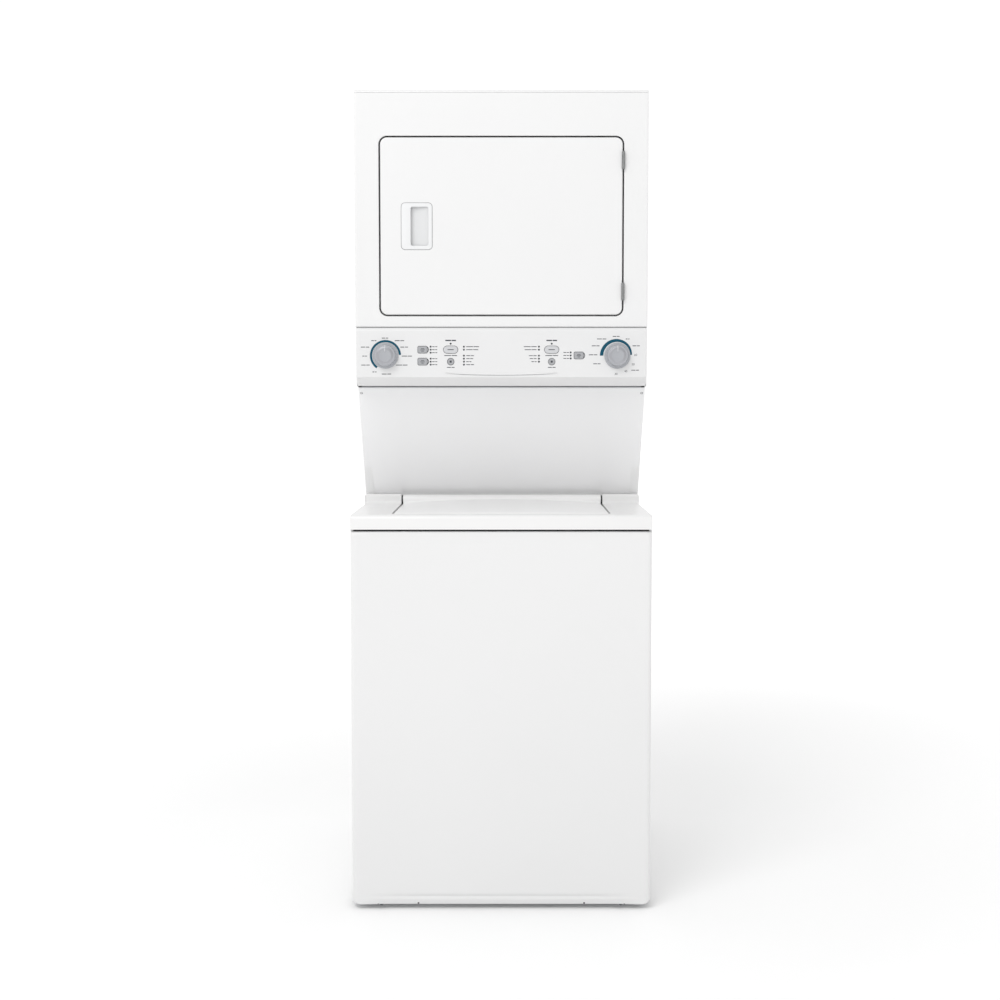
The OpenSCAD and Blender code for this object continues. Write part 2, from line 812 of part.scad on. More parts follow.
module dryer_motor() {
    color("gray") difference() {
        union() {
            bar_y(rotor_x, rotor_z, 55, motor_y0, motor_y1);
            for (y = [motor_y0 + 15, motor_y1 - 25])
                box(rotor_x - 45, rotor_x + 45, y, y + 10, console_z + 4.1, rotor_z - 30);
            bar_y(arm_pivot.x, arm_pivot.y, 4, belt_y - 18, belt_y - 1);
            box(rotor_x + 30, arm_pivot.x + 8, belt_y - 22, belt_y - 14, console_z + 4.1, arm_pivot.y + 8);
            box(rotor_x + 30, rotor_x + 45, motor_y1 - 20, belt_y - 14, console_z + 4.1, arm_pivot.y + 4);
        }
        bar_y(rotor_x, rotor_z, 7.5, motor_y0 - 1, motor_y1 + 1);
        bar_y(rotor_x, rotor_z, 48, motor_y0 + 3, motor_y1 - 3);
    }
}

module motor_rotor() {
    wheel_r = 50;
    color("silver") {
        bar_y(rotor_x, rotor_z, 6, 10, belt_y + 14);
        bar_y(rotor_x, rotor_z, 28, motor_y0 + 20, motor_y1 - 20);
        bar_y(rotor_x, rotor_z, rotor_pulley_r, belt_y - 2, belt_y + belt_width_y + 2);
        bar_y(rotor_x, rotor_z, wheel_r, 56, 59);
        difference() {
            bar_y(rotor_x, rotor_z, wheel_r, 12, 14);
            bar_y(rotor_x, rotor_z, 34, 11, 15);
        }
        for (a = [0:22.5:337.5]) translate([rotor_x, 12, rotor_z]) rotate([0, a, 0])
            translate([35, 0, -0.6]) cube([14.6, 45, 1.2]);
    }
}

module blower_housing() {
    r = 60;
    y0 = 5;
    y1 = 70;
    out_x = 46;
    color("gainsboro") difference() {
        union() {
            bar_y(rotor_x, rotor_z, r, y0, y1);
            box(rotor_x - out_x - wall, rotor_x + out_x + wall, y0, y1, console_z - 20, rotor_z);
        }
        bar_y(rotor_x, rotor_z, r - wall, y0 + wall, y1 - wall);
        box(rotor_x - out_x, rotor_x + out_x, y0 + wall, y1 - wall, console_z - 21, rotor_z);
        bar_y(rotor_x, rotor_z, 33, y0 - 1, y0 + 5);
        bar_y(rotor_x, rotor_z, 8, y1 - 5, y1 + 1);
    }
}

module exhaust_duct() {
    head_z = exhaust_z + 60;
    half = exhaust_r;
    elbow = [exhaust_x, duct_y, exhaust_z];
    route = [[elbow.x, elbow.y, head_z + 1], elbow, [elbow.x, overall_d / 2 - 1, elbow.z]];
    inner = half - wall;
    color("silver") difference() {
        union() {
            box(exhaust_x - half, exhaust_x + half, duct_y - half, duct_y + half, head_z, console_z - 12);
            pipe(route, exhaust_r - 1);
            bar_y(exhaust_x, exhaust_z, exhaust_r, y_back - 12, overall_d / 2);
        }
        translate([exhaust_x, duct_y, 0]) {
            box(-inner, inner, -inner, inner, head_z + wall, console_z - 14);
            box(-inner, inner, -33.5, 33.5, console_z - 15, console_z - 11);
        }
        pipe([route[0] + [0, 0, 3], route[1], route[2] + [0, 2, 0]], exhaust_r - wall);
    }
}

module heater_box() {
    r = 165;
    color("silver") {
        difference() {
            bar_y(0, drum_z, r, drum_y1 + 12.1, y_back - 6);
            bar_y(0, drum_z, r - wall, drum_y1 + 12, y_back - 8);
            bar_y(0, drum_z, 12, y_back - 12, y_back);
        }
        translate([0, drum_y1 + 32, drum_z]) {
            for (q = [90, 135]) rotate([90, 0, 0]) rotate_extrude() translate([q, 0]) circle(5);
            for (a = [15:90:285]) rotate([0, a, 0]) translate([84, -4, -3]) cube([r - 85, 8, 6]);
        }
    }
}

module lint_filter() {
    y0 = well_floor_y + 7;
    z1 = door_z - opening_h / 2;
    w = 222;
    h = 118;
    t = 8;
    color("whitesmoke") {
        difference() {
            box(-w / 2, w / 2, y0, y0 + t, z1 - h, z1 + 4);
            for (x = [-1, 0, 1]) box(x * 70 - 31, x * 70 + 31, y0 - 1, y0 + t + 1, z1 - h + 8, z1 - 14);
        }
        box(-w / 2 + 1, w / 2 - 1, y0 + 3, y0 + 4.5, z1 - h + 7, z1 - 13);
        box(-45, 45, y0 + 1, y0 + t + 4, z1 + 3.9, z1 + 14);
    }
}

// ---------- dryer door ----------

handle_x = -198;
handle_w = 72;
handle_h = 108;
pocket_w = 41;
pocket_h = 90;
pocket_x = handle_x + 6.5;
pan_y = y_dryer + 14;

module door_outline(inset) {
    translate([0, door_z]) rrect(door_w - 2 * inset, door_h - 2 * inset, 16 - inset);
}

module door_outer() {
    color("white") difference() {
        along_y(door_face_y, pan_y) door_outline(0);
        along_y(door_face_y + sheet, pan_y + 1) door_outline(sheet);
        along_y(door_face_y - 1, pan_y) translate([handle_x, door_z]) rrect(handle_w - 6, handle_h - 6, 7);
    }
}

module door_handle() {
    flange = 1.6;
    depth = 12.5;
    color("white") difference() {
        union() {
            along_y(door_face_y - flange, door_face_y - 0.05) translate([handle_x, door_z])
                rrect(handle_w, handle_h, 9);
            along_y(door_face_y - 0.1, door_face_y + depth) translate([handle_x, door_z])
                rrect(handle_w - 7, handle_h - 7, 6.5);
        }
        along_y(door_face_y - flange - 1, door_face_y + depth - 2) translate([pocket_x, door_z])
            rrect(pocket_w, pocket_h, 5);
        along_y(door_face_y + 2, door_face_y + depth - 2) translate([pocket_x - 5, door_z])
            rrect(pocket_w + 6, pocket_h, 5);
    }
}

module door_inner() {
    color("whitesmoke") {
        difference() {
            union() {
                along_y(pan_y + 0.1, pan_y + 3) translate([0, door_z]) rrect(door_w - 8, door_h - 8, 12);
                along_y(pan_y + 1, well_floor_y + 5) drum_hole(8);
            }
            along_y(pan_y - 1, well_floor_y + 3) drum_hole(10);
        }
        box(strike_x - 3, strike_x + 3, pan_y + 2, well_floor_y + 16, door_z - 10, door_z + 10);
        bar_y(strike_x, door_z, 4, well_floor_y + 10, well_floor_y + 16.5);
    }
}

module door_seal() {
    color("gray") along_y(pan_y + 3.1, well_floor_y - sheet - 0.4) difference() {
        drum_hole(-17);
        drum_hole(-8);
    }
}

// A spring clip behind the slot in the door well, held by two ears
module door_catch() {
    y0 = well_floor_y + 0.1;
    color("gray") translate([strike_x, 0, door_z]) {
        for (s = [-1, 1]) {
            box(s * 7 - 1, s * 7 + 1, y0, y0 + 22, -12, 12);
            translate([0, 0, s * 22]) box(-8, 8, y0, y0 + 2, -5, 5);
            translate([0, 0, s * 18]) box(-8, -6, y0, y0 + 2, -8, 8);
        }
        box(-8, 8, y0 + 20, y0 + 22, -12, 12);
    }
}

// Knuckles and leaves of the two door hinges. The cabinet holds the middle knuckle and the pin.
leaf_t = 1.1;
pin_r = 1.6;
third = knuckle_l / 3;

module hinge_places() {
    for (z = hinge_zs) translate([door_hinge_x, door_hinge_y, z]) children();
}

module hinge_door_leaves() {
    color("silver") hinge_places() difference() {
        for (s = [-1, 1]) translate([0, 0, s * third]) {
            cylinder(h = third - 0.4, r = knuckle_r, center = true);
            translate([-door_gap / 2, 0, 0.2 - third / 2]) cube([leaf_t, 16, third - 0.4]);
        }
        cylinder(h = knuckle_l + 2, r = pin_r + 0.06, center = true);
    }
}

module hinge_cabinet_leaves() {
    color("silver") hinge_places() {
        cylinder(h = third - 0.4, r = knuckle_r, center = true);
        cylinder(h = knuckle_l + 3, r = pin_r, center = true);
        for (s = [-1, 1]) translate([0, 0, s * (knuckle_l / 2 + 1)])
            cylinder(h = 1.2, r = 2.6, center = true);
        translate([0.3, 0, 0.2 - third / 2]) cube([leaf_t, 20, third - 0.4]);
    }
}

// ---------- console ----------

module console_outline(inset) {
    r = 9;
    x0 = face_y + inset;
    z0 = console_z + inset;
    z1 = console_top_z - inset;
    back = y_dryer + 20;
    polygon(concat(
        [[back, z1]], arc([x0 + r - inset / 2, z1 - r + inset / 2], r - inset / 2, 90, 180),
        [[x0, console_z + 20 + inset / 2], [y_dryer + 22 - inset / 2, z0], [back, z0]]
    ));
}

module console_shell() {
    color("whitesmoke") difference() {
        along_x(-x_out + 2, x_out - 2) console_outline(0);
        along_x(-x_out + 5, x_out - 5) {
            console_outline(3);
            translate([y_dryer + 19, console_z + 3]) square([15, console_h - 6]);
        }
        for (s = [-1, 1]) bar_y(s * knob_x, knob_z, 6, face_y - 1, face_y + 5);
        along_y(face_y - 1, face_y + 5) {
            for (x = start_xs) {
                translate([x, start_z]) pill(0.4);
                translate([x, cancel_z]) circle(7.9);
            }
            for (z = [start_z, cancel_z]) translate([option_x, z]) option_outline(0.4);
            translate([temp_x, temp_z]) option_outline(0.4);
        }
        for (p = lamps) bar_y(p.x, p.y, 1.5, face_y - 1, face_y + 5);
    }
}

module pill(grow) {
    w = 33;
    h = 16.6;
    rrect(w + 2 * grow, h + 2 * grow, h / 2 + grow - 0.05);
}

module option_outline(grow) {
    w = 21.4;
    h = 15.4;
    rrect(w + 2 * grow, h + 2 * grow, 2.6 + grow);
}

module control_board() {
    board_y = face_y + 15;
    color("seagreen") {
        box(-305, 305, board_y, board_y + 1.6, console_z + 40, console_z + 108);
        for (p = lamps) bar_y(p.x, p.y, 1.4, face_y - 0.2, board_y + 0.5);
        for (s = [-1, 1]) difference() {
            box(s * knob_x - 13, s * knob_x + 13, board_y - 5, board_y, knob_z - 13, knob_z + 13);
            bar_y(s * knob_x, knob_z, 3.08, board_y - 6, board_y);
        }
        for (x = concat(start_xs, option_x), z = [start_z, cancel_z])
            bar_y(x, z, 2, board_y - switch_h, board_y + 0.5);
        bar_y(temp_x, temp_z, 2, board_y - switch_h, board_y + 0.5);
    }
}

// A knob: skirt, grip with a pointer rib, and its shaft
module knob(x) {
    color("silver") {
        bar_y(x, knob_z, 30.5, face_y - 4.4, face_y - 0.4);
        bar_y(x, knob_z, 25, face_y - 20, face_y - 4);
        box(x - 1.2, x + 1.2, face_y - 21, face_y - 5, knob_z + 8, knob_z + 24.5);
        bar_y(x, knob_z, 3, face_y - 4, face_y + 13);
    }
}

module washer_knob() {
    knob(-knob_x);
}

module dryer_knob() {
    knob(knob_x);
}

// A push button: cap in the face and a wider flange behind it
module button(x, z) {
    color("silver") {
        along_y(face_y - 1.6, face_y + 3.5) translate([x, z]) children(0);
        along_y(face_y + 3.4, face_y + 5.5) translate([x, z]) children(1);
        bar_y(x, z, 3, face_y + 5, face_y + 12);
    }
}

module start_button(x) {
    button(x, start_z) {
        pill(0);
        pill(1.5);
    }
}

module cancel_button(x) {
    button(x, cancel_z) {
        circle(7.5);
        circle(9.4);
    }
}

module option_button(x, z) {
    button(x, z) {
        option_outline(0);
        option_outline(1.5);
    }
}

module washer_start_button() {
    start_button(start_xs[0]);
}

module washer_cancel_button() {
    cancel_button(start_xs[0]);
}

module washer_temp_button() {
    option_button(option_x, start_z);
}

module washer_soil_button() {
    option_button(option_x, cancel_z);
}

module dryer_start_button() {
    start_button(start_xs[1]);
}

module dryer_cancel_button() {
    cancel_button(start_xs[1]);
}

module dryer_temp_button() {
    option_button(temp_x, temp_z);
}

// ---------- nodes ----------

leveling_feet();
base_frame();
washer_cabinet();
washer_front_panel();
washer_deck();
washer_lid();
lid_liner();
lid_lock();
outer_tub();
wash_basket();
balance_ring();
agitator();
suspension_rods();
suspension_springs();
gearcase();
drive_pulley();
drive_belt();
washer_motor();
motor_pulley();
drain_pump();
drain_hose();
water_valve();
side_panel_left();
side_panel_right();
access_panel();
rear_panel();
dryer_top();
dryer_front_panel();
dryer_base();
panel_screws();
front_bulkhead();
rear_bulkhead();
dryer_drum();
drum_belt();
dryer_motor();
motor_rotor();
blower_housing();
exhaust_duct();
heater_box();
idler_arm();
idler_pulley();
lint_filter();
door_outer();
door_inner();
door_seal();
door_handle();
door_catch();
hinge_door_leaves();
hinge_cabinet_leaves();
console_shell();
control_board();
washer_knob();
dryer_knob();
washer_start_button();
washer_cancel_button();
washer_temp_button();
washer_soil_button();
dryer_start_button();
dryer_cancel_button();
dryer_temp_button();
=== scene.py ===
"""The looks of the stacked laundry centre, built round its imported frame.

Places and meshes are in millimetres here, and finished() brings them to metres. Materials, the
camera and the light are in metres.
"""

import json
import math

import bmesh
import bpy
from mathutils import Matrix, Vector


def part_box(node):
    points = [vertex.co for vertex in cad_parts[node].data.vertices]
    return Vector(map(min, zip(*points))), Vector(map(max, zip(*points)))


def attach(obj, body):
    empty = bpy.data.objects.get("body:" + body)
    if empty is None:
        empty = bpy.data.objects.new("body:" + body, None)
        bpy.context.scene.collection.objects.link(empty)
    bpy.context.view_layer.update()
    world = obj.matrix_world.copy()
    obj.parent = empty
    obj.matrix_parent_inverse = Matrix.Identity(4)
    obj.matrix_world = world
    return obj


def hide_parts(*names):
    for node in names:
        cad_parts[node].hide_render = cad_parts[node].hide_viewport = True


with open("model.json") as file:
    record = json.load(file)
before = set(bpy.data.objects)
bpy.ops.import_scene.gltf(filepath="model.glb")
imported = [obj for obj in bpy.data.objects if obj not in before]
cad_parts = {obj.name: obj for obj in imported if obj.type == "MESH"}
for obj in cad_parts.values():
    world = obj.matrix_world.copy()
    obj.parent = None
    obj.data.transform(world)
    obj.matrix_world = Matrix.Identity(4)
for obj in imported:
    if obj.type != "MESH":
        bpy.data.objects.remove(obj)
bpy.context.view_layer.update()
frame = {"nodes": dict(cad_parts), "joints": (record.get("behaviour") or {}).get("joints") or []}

scene = bpy.context.scene
MM = 0.001


# ---------- places, all from the frame ----------

def low(node):
    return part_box(node)[0] / MM


def high(node):
    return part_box(node)[1] / MM


def middle(node):
    return (low(node) + high(node)) / 2


def pivot(joint):
    return Vector(next(j for j in frame["joints"] if j["name"] == joint)["pos_m"]) / MM


SHEET = 1.2
X_OUT = high("washer_front_panel").x
Y_FRONT = low("washer_front_panel").y
Y_BACK = high("washer_cabinet").y
PANEL_LOW, PANEL_TOP = low("washer_front_panel").z, high("washer_front_panel").z
BAND_Z = high("washer_cabinet").z
RISER_Z = high("washer_deck").z
LID_AXIS = pivot("lid_hinge") * Vector((0, 1, 1))
BARREL_R = 12
DECK_Z = LID_AXIS.z - 9
RISER_Y = LID_AXIS.y - BARREL_R
LID_HALF = (high("lid_liner").x - low("lid_liner").x) / 2 + 6
LID_Y0 = low("washer_lid").y
SLOPE_FOOT = Vector((RISER_Y + 27, low("access_panel").z))
SLOPE_HEAD = Vector((low("access_panel").y, high("access_panel").z))
SLOPE = (SLOPE_HEAD - SLOPE_FOOT).normalized()
FACE_Y = low("console_shell").y
CONSOLE_Z, CONSOLE_TOP = low("console_shell").z, high("console_shell").z
CONSOLE_X = high("console_shell").x
DRYER_Y = low("dryer_front_panel").y
TOP_Z = high("dryer_top").z
DOOR = middle("door_outer")
DOOR_SIZE = high("door_outer") - low("door_outer")
DOOR_FACE = low("door_outer").y
DOOR_GAP = 3.5
PULL_X = -198
WELL_FLOOR = DRYER_Y + 22
TUB = pivot("basket_spin") * Vector((1, 1, 0))
DRUM = pivot("drum_spin") * Vector((0, 0, 1))


# ---------- materials, each with the record's slot ----------

def ramp(tree, source, a0, a1, b0, b1):
    """Carries a signal from the range a0 to a1 into the range b0 to b1."""
    made = tree.nodes.new("ShaderNodeMapRange")
    for key, value in (("From Min", a0), ("From Max", a1), ("To Min", b0), ("To Max", b1)):
        made.inputs[key].default_value = value
    tree.links.new(source, made.inputs["Value"])
    return made.outputs["Result"]


class Finish:
    """A Principled material under construction, with object coordinates and noise to hand."""

    def __init__(self, name, colour, roughness, metallic=0.0, coat=0.0):
        self.material = bpy.data.materials.new(name)
        self.material.use_nodes = True
        self.tree = self.material.node_tree
        self.shader = self.tree.nodes["Principled BSDF"]
        self.place = self.node("ShaderNodeTexCoord").outputs["Object"]
        self.colour = colour
        self.roughness = roughness
        for key, value in (("Base Color", (*colour, 1)), ("Roughness", roughness),
                           ("Metallic", metallic), ("Coat Weight", coat), ("Coat Roughness", 0.2)):
            self.shader.inputs[key].default_value = value

    def node(self, kind, **settings):
        made = self.tree.nodes.new(kind)
        for key, value in settings.items():
            setattr(made, key, value)
        return made

    def join(self, start, end):
        self.tree.links.new(start, end)

    def noise(self, scale, detail=3.0, stretch=(1, 1, 1)):
        """Noise on the object's coordinates, which are multiplied axis by axis first."""
        mapping = self.node("ShaderNodeMapping")
        mapping.inputs["Scale"].default_value = stretch
        self.join(self.place, mapping.inputs["Vector"])
        made = self.node("ShaderNodeTexNoise")
        made.inputs["Scale"].default_value = scale
        made.inputs["Detail"].default_value = detail
        self.join(mapping.outputs["Vector"], made.inputs["Vector"])
        return made.outputs["Fac"]

    def spread(self, source, a, b):
        return ramp(self.tree, source, 0.3, 0.7, a, b)

    def vary_colour(self, source, shade):
        """The colour drifts to a darker or lighter shade of itself with the signal."""
        mix = self.node("ShaderNodeMix", data_type="RGBA")
        mix.inputs["A"].default_value = (*self.colour, 1)
        mix.inputs["B"].default_value = (*[c * shade for c in self.colour], 1)
        self.join(self.spread(source, 0, 1), mix.inputs["Factor"])
        self.join(mix.outputs["Result"], self.shader.inputs["Base Color"])

    def vary_roughness(self, source, by):
        ends = self.roughness * (1 - by), self.roughness * (1 + by)
        self.join(self.spread(source, *ends), self.shader.inputs["Roughness"])

    def relief(self, source, height, strength=0.5):
        bump = self.node("ShaderNodeBump")
        bump.inputs["Strength"].default_value = strength
        bump.inputs["Distance"].default_value = height
        self.join(source, bump.inputs["Height"])
        self.join(bump.outputs["Normal"], self.shader.inputs["Normal"])


def enamel(name, colour, roughness, coat, peel):
    """Baked enamel on sheet steel: a fine orange peel and a faint drift in tone."""
    made = Finish(name, colour, roughness, coat=coat)
    made.vary_colour(made.noise(2.2, 2), 0.985)
    made.vary_roughness(made.noise(18), 0.1)
    made.relief(made.noise(420, 2), 0.02 * MM, peel)
    return made.material, "white_enamel"


def moulded(name, slot, colour, roughness, grain=900.0, depth=0.04, strength=0.35):
    """Moulded plastic with a fine spark-eroded grain, its depth in millimetres."""
    made = Finish(name, colour, roughness)
    made.vary_colour(made.noise(5, 2), 0.97)
    made.vary_roughness(made.noise(60), 0.18)
    made.relief(made.noise(grain, 4), depth * MM, strength)
    return made.material, slot


def metal(name, slot, colour, roughness, stretch=(1, 1, 1), scale=260.0, shade=0.9, strength=0.25):
    """Bare metal whose grain runs along the axis with the smallest stretch."""
    made = Finish(name, colour, roughness, metallic=1.0)
    grain = made.noise(scale, 4, stretch)
    made.vary_colour(made.noise(6, 3), shade)
    made.vary_roughness(grain, 0.3)
    made.relief(grain, 0.03 * MM, strength)
    return made.material, slot


def galvanised(name):
    """Zinc sheet with its spangle of flat crystals."""
    made = Finish(name, (0.60, 0.62, 0.64), 0.42, metallic=0.9)
    cells = made.node("ShaderNodeTexVoronoi")
    cells.inputs["Scale"].default_value = 150
    made.join(made.place, cells.inputs["Vector"])
    grey = made.node("ShaderNodeRGBToBW")
    made.join(cells.outputs["Color"], grey.inputs["Color"])
    made.vary_colour(grey.outputs["Val"], 0.955)
    made.vary_roughness(grey.outputs["Val"], 0.12)
    made.relief(made.noise(300, 3), 0.02 * MM, 0.2)
    return made.material, "zinc_sheet"


def circuit(name):
    """A green solder mask with darker tracks."""
    made = Finish(name, (0.03, 0.20, 0.10), 0.35)
    made.vary_colour(made.noise(160, 1, (1, 1, 0.15)), 0.45)
    made.relief(made.noise(160, 1, (0.15, 1, 1)), 0.05 * MM, 0.4)
    return made.material, "board"


def printed(name, slot, colour):
    """Screen-printed ink, a little matt and not quite even."""
    made = Finish(name, colour, 0.6)
    made.shader.inputs["Specular IOR Level"].default_value = 0.25
    made.vary_colour(made.noise(900, 2), 0.9)
    return made.material, slot


ENAMEL = enamel("white_enamel_gloss", (0.785, 0.785, 0.785), 0.34, 0.25, 0.04)
# The deck, lid and access panel are the same white enamel in lighter copies: painted light for the extra
# light their up-facing surfaces catch.
ENAMEL_DECK_PAINTED_LIGHT = enamel("white_enamel_deck_painted_light", (0.82, 0.818, 0.815), 0.36, 0.2, 0.02)
ENAMEL_LID_PAINTED_LIGHT = enamel("white_enamel_lid_painted_light", (0.90, 0.898, 0.895), 0.36, 0.2, 0.02)
ENAMEL_PANEL_PAINTED_LIGHT = enamel("white_enamel_panel_painted_light", (0.845, 0.845, 0.85), 0.24, 0.6, 0.04)
CONSOLE = moulded("console_plastic_satin", "console_plastic", (0.75, 0.75, 0.752), 0.38, 700, 0.02)
WHITE_PLASTIC = moulded("white_plastic_gloss", "white_plastic", (0.78, 0.785, 0.79), 0.34, 500, 0.02)
# A darker copy of the white plastic for the pull's pocket: painted shade for the shade that falls in the
# recess.
PULL_CUP_SHADE = moulded("pull_cup_painted_shade", "white_plastic", (0.69, 0.695, 0.70), 0.42, 600, 0.02)
TUB_PLASTIC = moulded("tub_plastic_milky", "tub_plastic", (0.66, 0.67, 0.67), 0.5)
BLACK_PLASTIC = moulded("black_plastic_fine", "black_plastic", (0.03, 0.03, 0.033), 0.45)
RUBBER = moulded("rubber_matt", "rubber", (0.045, 0.045, 0.05), 0.75, 1200, 0.06)
KNOB_SILVER = moulded("knob_silver", "knob_plastic", (0.39, 0.40, 0.425), 0.34, 1400, 0.01)
KNOB_CAP = metal("knob_cap_spun", "knob_plastic", (0.42, 0.425, 0.45), 0.42, (1, 1, 1), 900)
BUTTON_GREY = moulded("button_grey", "button_plastic", (0.38, 0.385, 0.40), 0.36, 1400, 0.01)
BUTTON_PALE = moulded("button_pale", "button_plastic", (0.58, 0.585, 0.60), 0.36, 1400, 0.01)
ZINC = galvanised("zinc_spangle")
STAINLESS = metal("stainless_brushed", "stainless", (0.66, 0.66, 0.65), 0.26, (1, 1, 14), 60)
STEEL = metal("steel_plated", "steel", (0.52, 0.53, 0.54), 0.36)
CAST = metal("cast_aluminium", "cast_metal", (0.50, 0.51, 0.52), 0.55, (1, 1, 1), 420, 0.8, 0.6)
BOARD = circuit("circuit_board")
INK = printed("ink_grey", "console_plastic", (0.075, 0.08, 0.09))
INK_BLUE = printed("ink_blue", "knob_plastic", (0.002, 0.078, 0.130))
# The print finish, used here for painted shadow: the grey line laid under the console's lip.
SHADE = printed("shadow_grey", "console_plastic", (0.42, 0.42, 0.43))
POINTER = printed("pointer_paint", "knob_plastic", (0.60, 0.61, 0.63))
LAMP = moulded("lamp_lens_dark", "black_plastic", (0.025, 0.027, 0.03), 0.18)
# Dark grey strips in the seams under and over the console: painted shade that darkens the seams.
GAP_SHADE_GREY = moulded("gap_painted_shade_grey", "rubber", (0.24, 0.24, 0.245), 0.8)
SCREW = metal("screw_dark", "steel", (0.20, 0.20, 0.21), 0.45)
HINGE = metal("hinge_steel", "steel", (0.30, 0.305, 0.305), 0.42)
# Near-black strips set in the gaps above the washer front and round the door: painted shade that darkens the
# gaps.
GAP_SHADE_BLACK = moulded("gap_painted_shade_black", "rubber", (0.02, 0.02, 0.022), 0.9)


# ---------- mesh tools ----------

def arc(cx, cy, r, a0, a1, n=8):
    """n + 1 points along an arc, angles in degrees."""
    turns = [math.radians(a0 + (a1 - a0) * i / n) for i in range(n + 1)]
    return [(cx + r * math.cos(a), cy + r * math.sin(a)) for a in turns]


def roll(r, n, first=0):
    """A rolled edge of radius r: how far each step is in from the side and back from the face."""
    return [(r - u, r - v) for u, v in arc(0, 0, r, 0, 90, n)[first:]]


def rounded(w, h, r, n=8):
    """A rounded rectangle about the origin, n + 1 points to each corner."""
    r = min(r, 0.499 * w, 0.499 * h)
    points = []
    for k, (sx, sy) in enumerate(((1, 1), (-1, 1), (-1, -1), (1, -1))):
        points += arc(sx * (w / 2 - r), sy * (h / 2 - r), r, 90 * k, 90 * k + 90, n)
    return points


def facing(points, y, cx=0.0, cz=0.0):
    """Flat points set upright in the plane of that y."""
    return [(cx + u, y, cz + v) for u, v in points]


def loft(rings, wrap=False, mesh=None):
    """Joins rings of equal count; wrap closes the last ring on the first."""
    mesh = mesh or bmesh.new()
    rows = [[mesh.verts.new(p) for p in ring] for ring in rings]
    for a, b in zip(rows, rows[1:] + rows[:1] if wrap else rows[1:]):
        for i in range(len(a)):
            j = (i + 1) % len(a)
            mesh.faces.new((a[i], a[j], b[j], b[i]))
    if not wrap:
        mesh.faces.new(rows[0][::-1])
        mesh.faces.new(rows[-1])
    return mesh


def slab(plan, y0, y1, cx, cz, mesh=None):
    """An upright outline given depth."""
    return loft([facing(plan, y, cx, cz) for y in (y0, y1)], mesh=mesh)


def band(ring, grow0, grow1, y0, y1):
    """A closed band between two sizes of ring(grow, y) and two depths."""
    corners = ((grow0, y0), (grow0, y1), (grow1, y1), (grow1, y0))
    return loft([ring(grow, y) for grow, y in corners], wrap=True)


def across(outline, half):
    """A side view in [y, z] carried from one side to the other."""
    return loft([[(x, y, z) for y, z in outline] for x in (-half, half)])


def mirrored(rings):
    """Rings of the right half, outermost first, continued from the left side to the right."""
    return [[(-x, y, z) for x, y, z in ring] for ring in rings] + rings[::-1]


def standing(w, d, r, cy, z0, z1, n=8):
    """An upright prism with a rounded rectangle for its plan."""
    return loft([[(u, cy + v, z) for u, v in rounded(w, d, r, n)] for z in (z0, z1)])


def lathe(profile, centre=(0, 0, 0), axis="Z", n=64, wrap=False, ripple=None, mesh=None):
    """Turns (r, along) points about an axis; ripple(angle, r, along) may change a radius."""
    rings = []
    for r, along in profile:
        ring = []
        for i in range(n):
            a = 2 * math.pi * i / n
            reach = r + (ripple(a, r, along) if ripple else 0)
            u, v = reach * math.cos(a), reach * math.sin(a)
            spot = {"Z": (u, v, along), "Y": (u, along, v), "X": (along, u, v)}[axis]
            ring.append(Vector(spot) + Vector(centre))
        rings.append(ring)
    return loft(rings, wrap, mesh)


def block(a, b, mesh=None):
    """A box between two corners, for joining into a larger piece or cutting one."""
    plan = ((a[0], a[1]), (b[0], a[1]), (b[0], b[1]), (a[0], b[1]))
    return loft([[(x, y, z) for x, y in plan] for z in (a[2], b[2])], mesh=mesh)


def finished(name, mesh):
    """A new object, in metres, from a bmesh in millimetres."""
    bmesh.ops.recalc_face_normals(mesh, faces=mesh.faces[:])
    mesh.transform(Matrix.Scale(MM, 4))
    data = bpy.data.meshes.new(name)
    mesh.to_mesh(data)
    mesh.free()
    made = bpy.data.objects.new(name, data)
    scene.collection.objects.link(made)
    return made


def piece(name, mesh, finish, body="root", replaces=(), crease=35, bevel=0.0, slot=None):
    """Finishes a bmesh as an object of the model."""
    made = finished(name, mesh)
    made.data.materials.append(finish[0])
    smooth(made, crease)
    if bevel:
        soften(made, bevel)
    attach(made, body)
    slot or finish[1]
    if replaces:
        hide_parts(*replaces)
    return made


def smooth(made, crease):
    made.data.shade_smooth()
    made.data.set_sharp_from_angle(angle=math.radians(crease))


def even(made):
    """Lets the large faces set the normals, so that flat sheet stays flat."""
    made.modifiers.new("even_shading", "WEIGHTED_NORMAL").keep_sharp = True


def soften(made, width, segments=2):
    """Rounds the sharp edges that are left, as a press or a mould does."""
    edge = made.modifiers.new("soft_edges", "BEVEL")
    edge.width = width * MM
    edge.segments = segments
    edge.limit_method = "ANGLE"
    edge.angle_limit = math.radians(40)
    edge.harden_normals = True


def carve(made, cutter):
    """Cuts a closed object away and removes it."""
    cut = made.modifiers.new("cut", "BOOLEAN")
    cut.operation = "DIFFERENCE"
    cut.solver = "EXACT"
    cut.object = cutter
    graph = bpy.context.evaluated_depsgraph_get()
    result = bpy.data.meshes.new_from_object(made.evaluated_get(graph))
    made.modifiers.clear()
    made.data = result
    bpy.data.objects.remove(cutter)


def cut_away(made, mesh):
    carve(made, finished("tool", mesh))


def ease(t):
    """A smooth step from 0 to 1."""
    t = max(0.0, min(1.0, t))
    return t * t * (3 - 2 * t)


def roll_back(t, r):
    """How far an edge of radius r has fallen away at a distance t inside its end."""
    return r - math.sqrt(max(0.0, r * r - (r - t) ** 2)) if t < r else 0.0


# ---------- camera, light and floor ----------

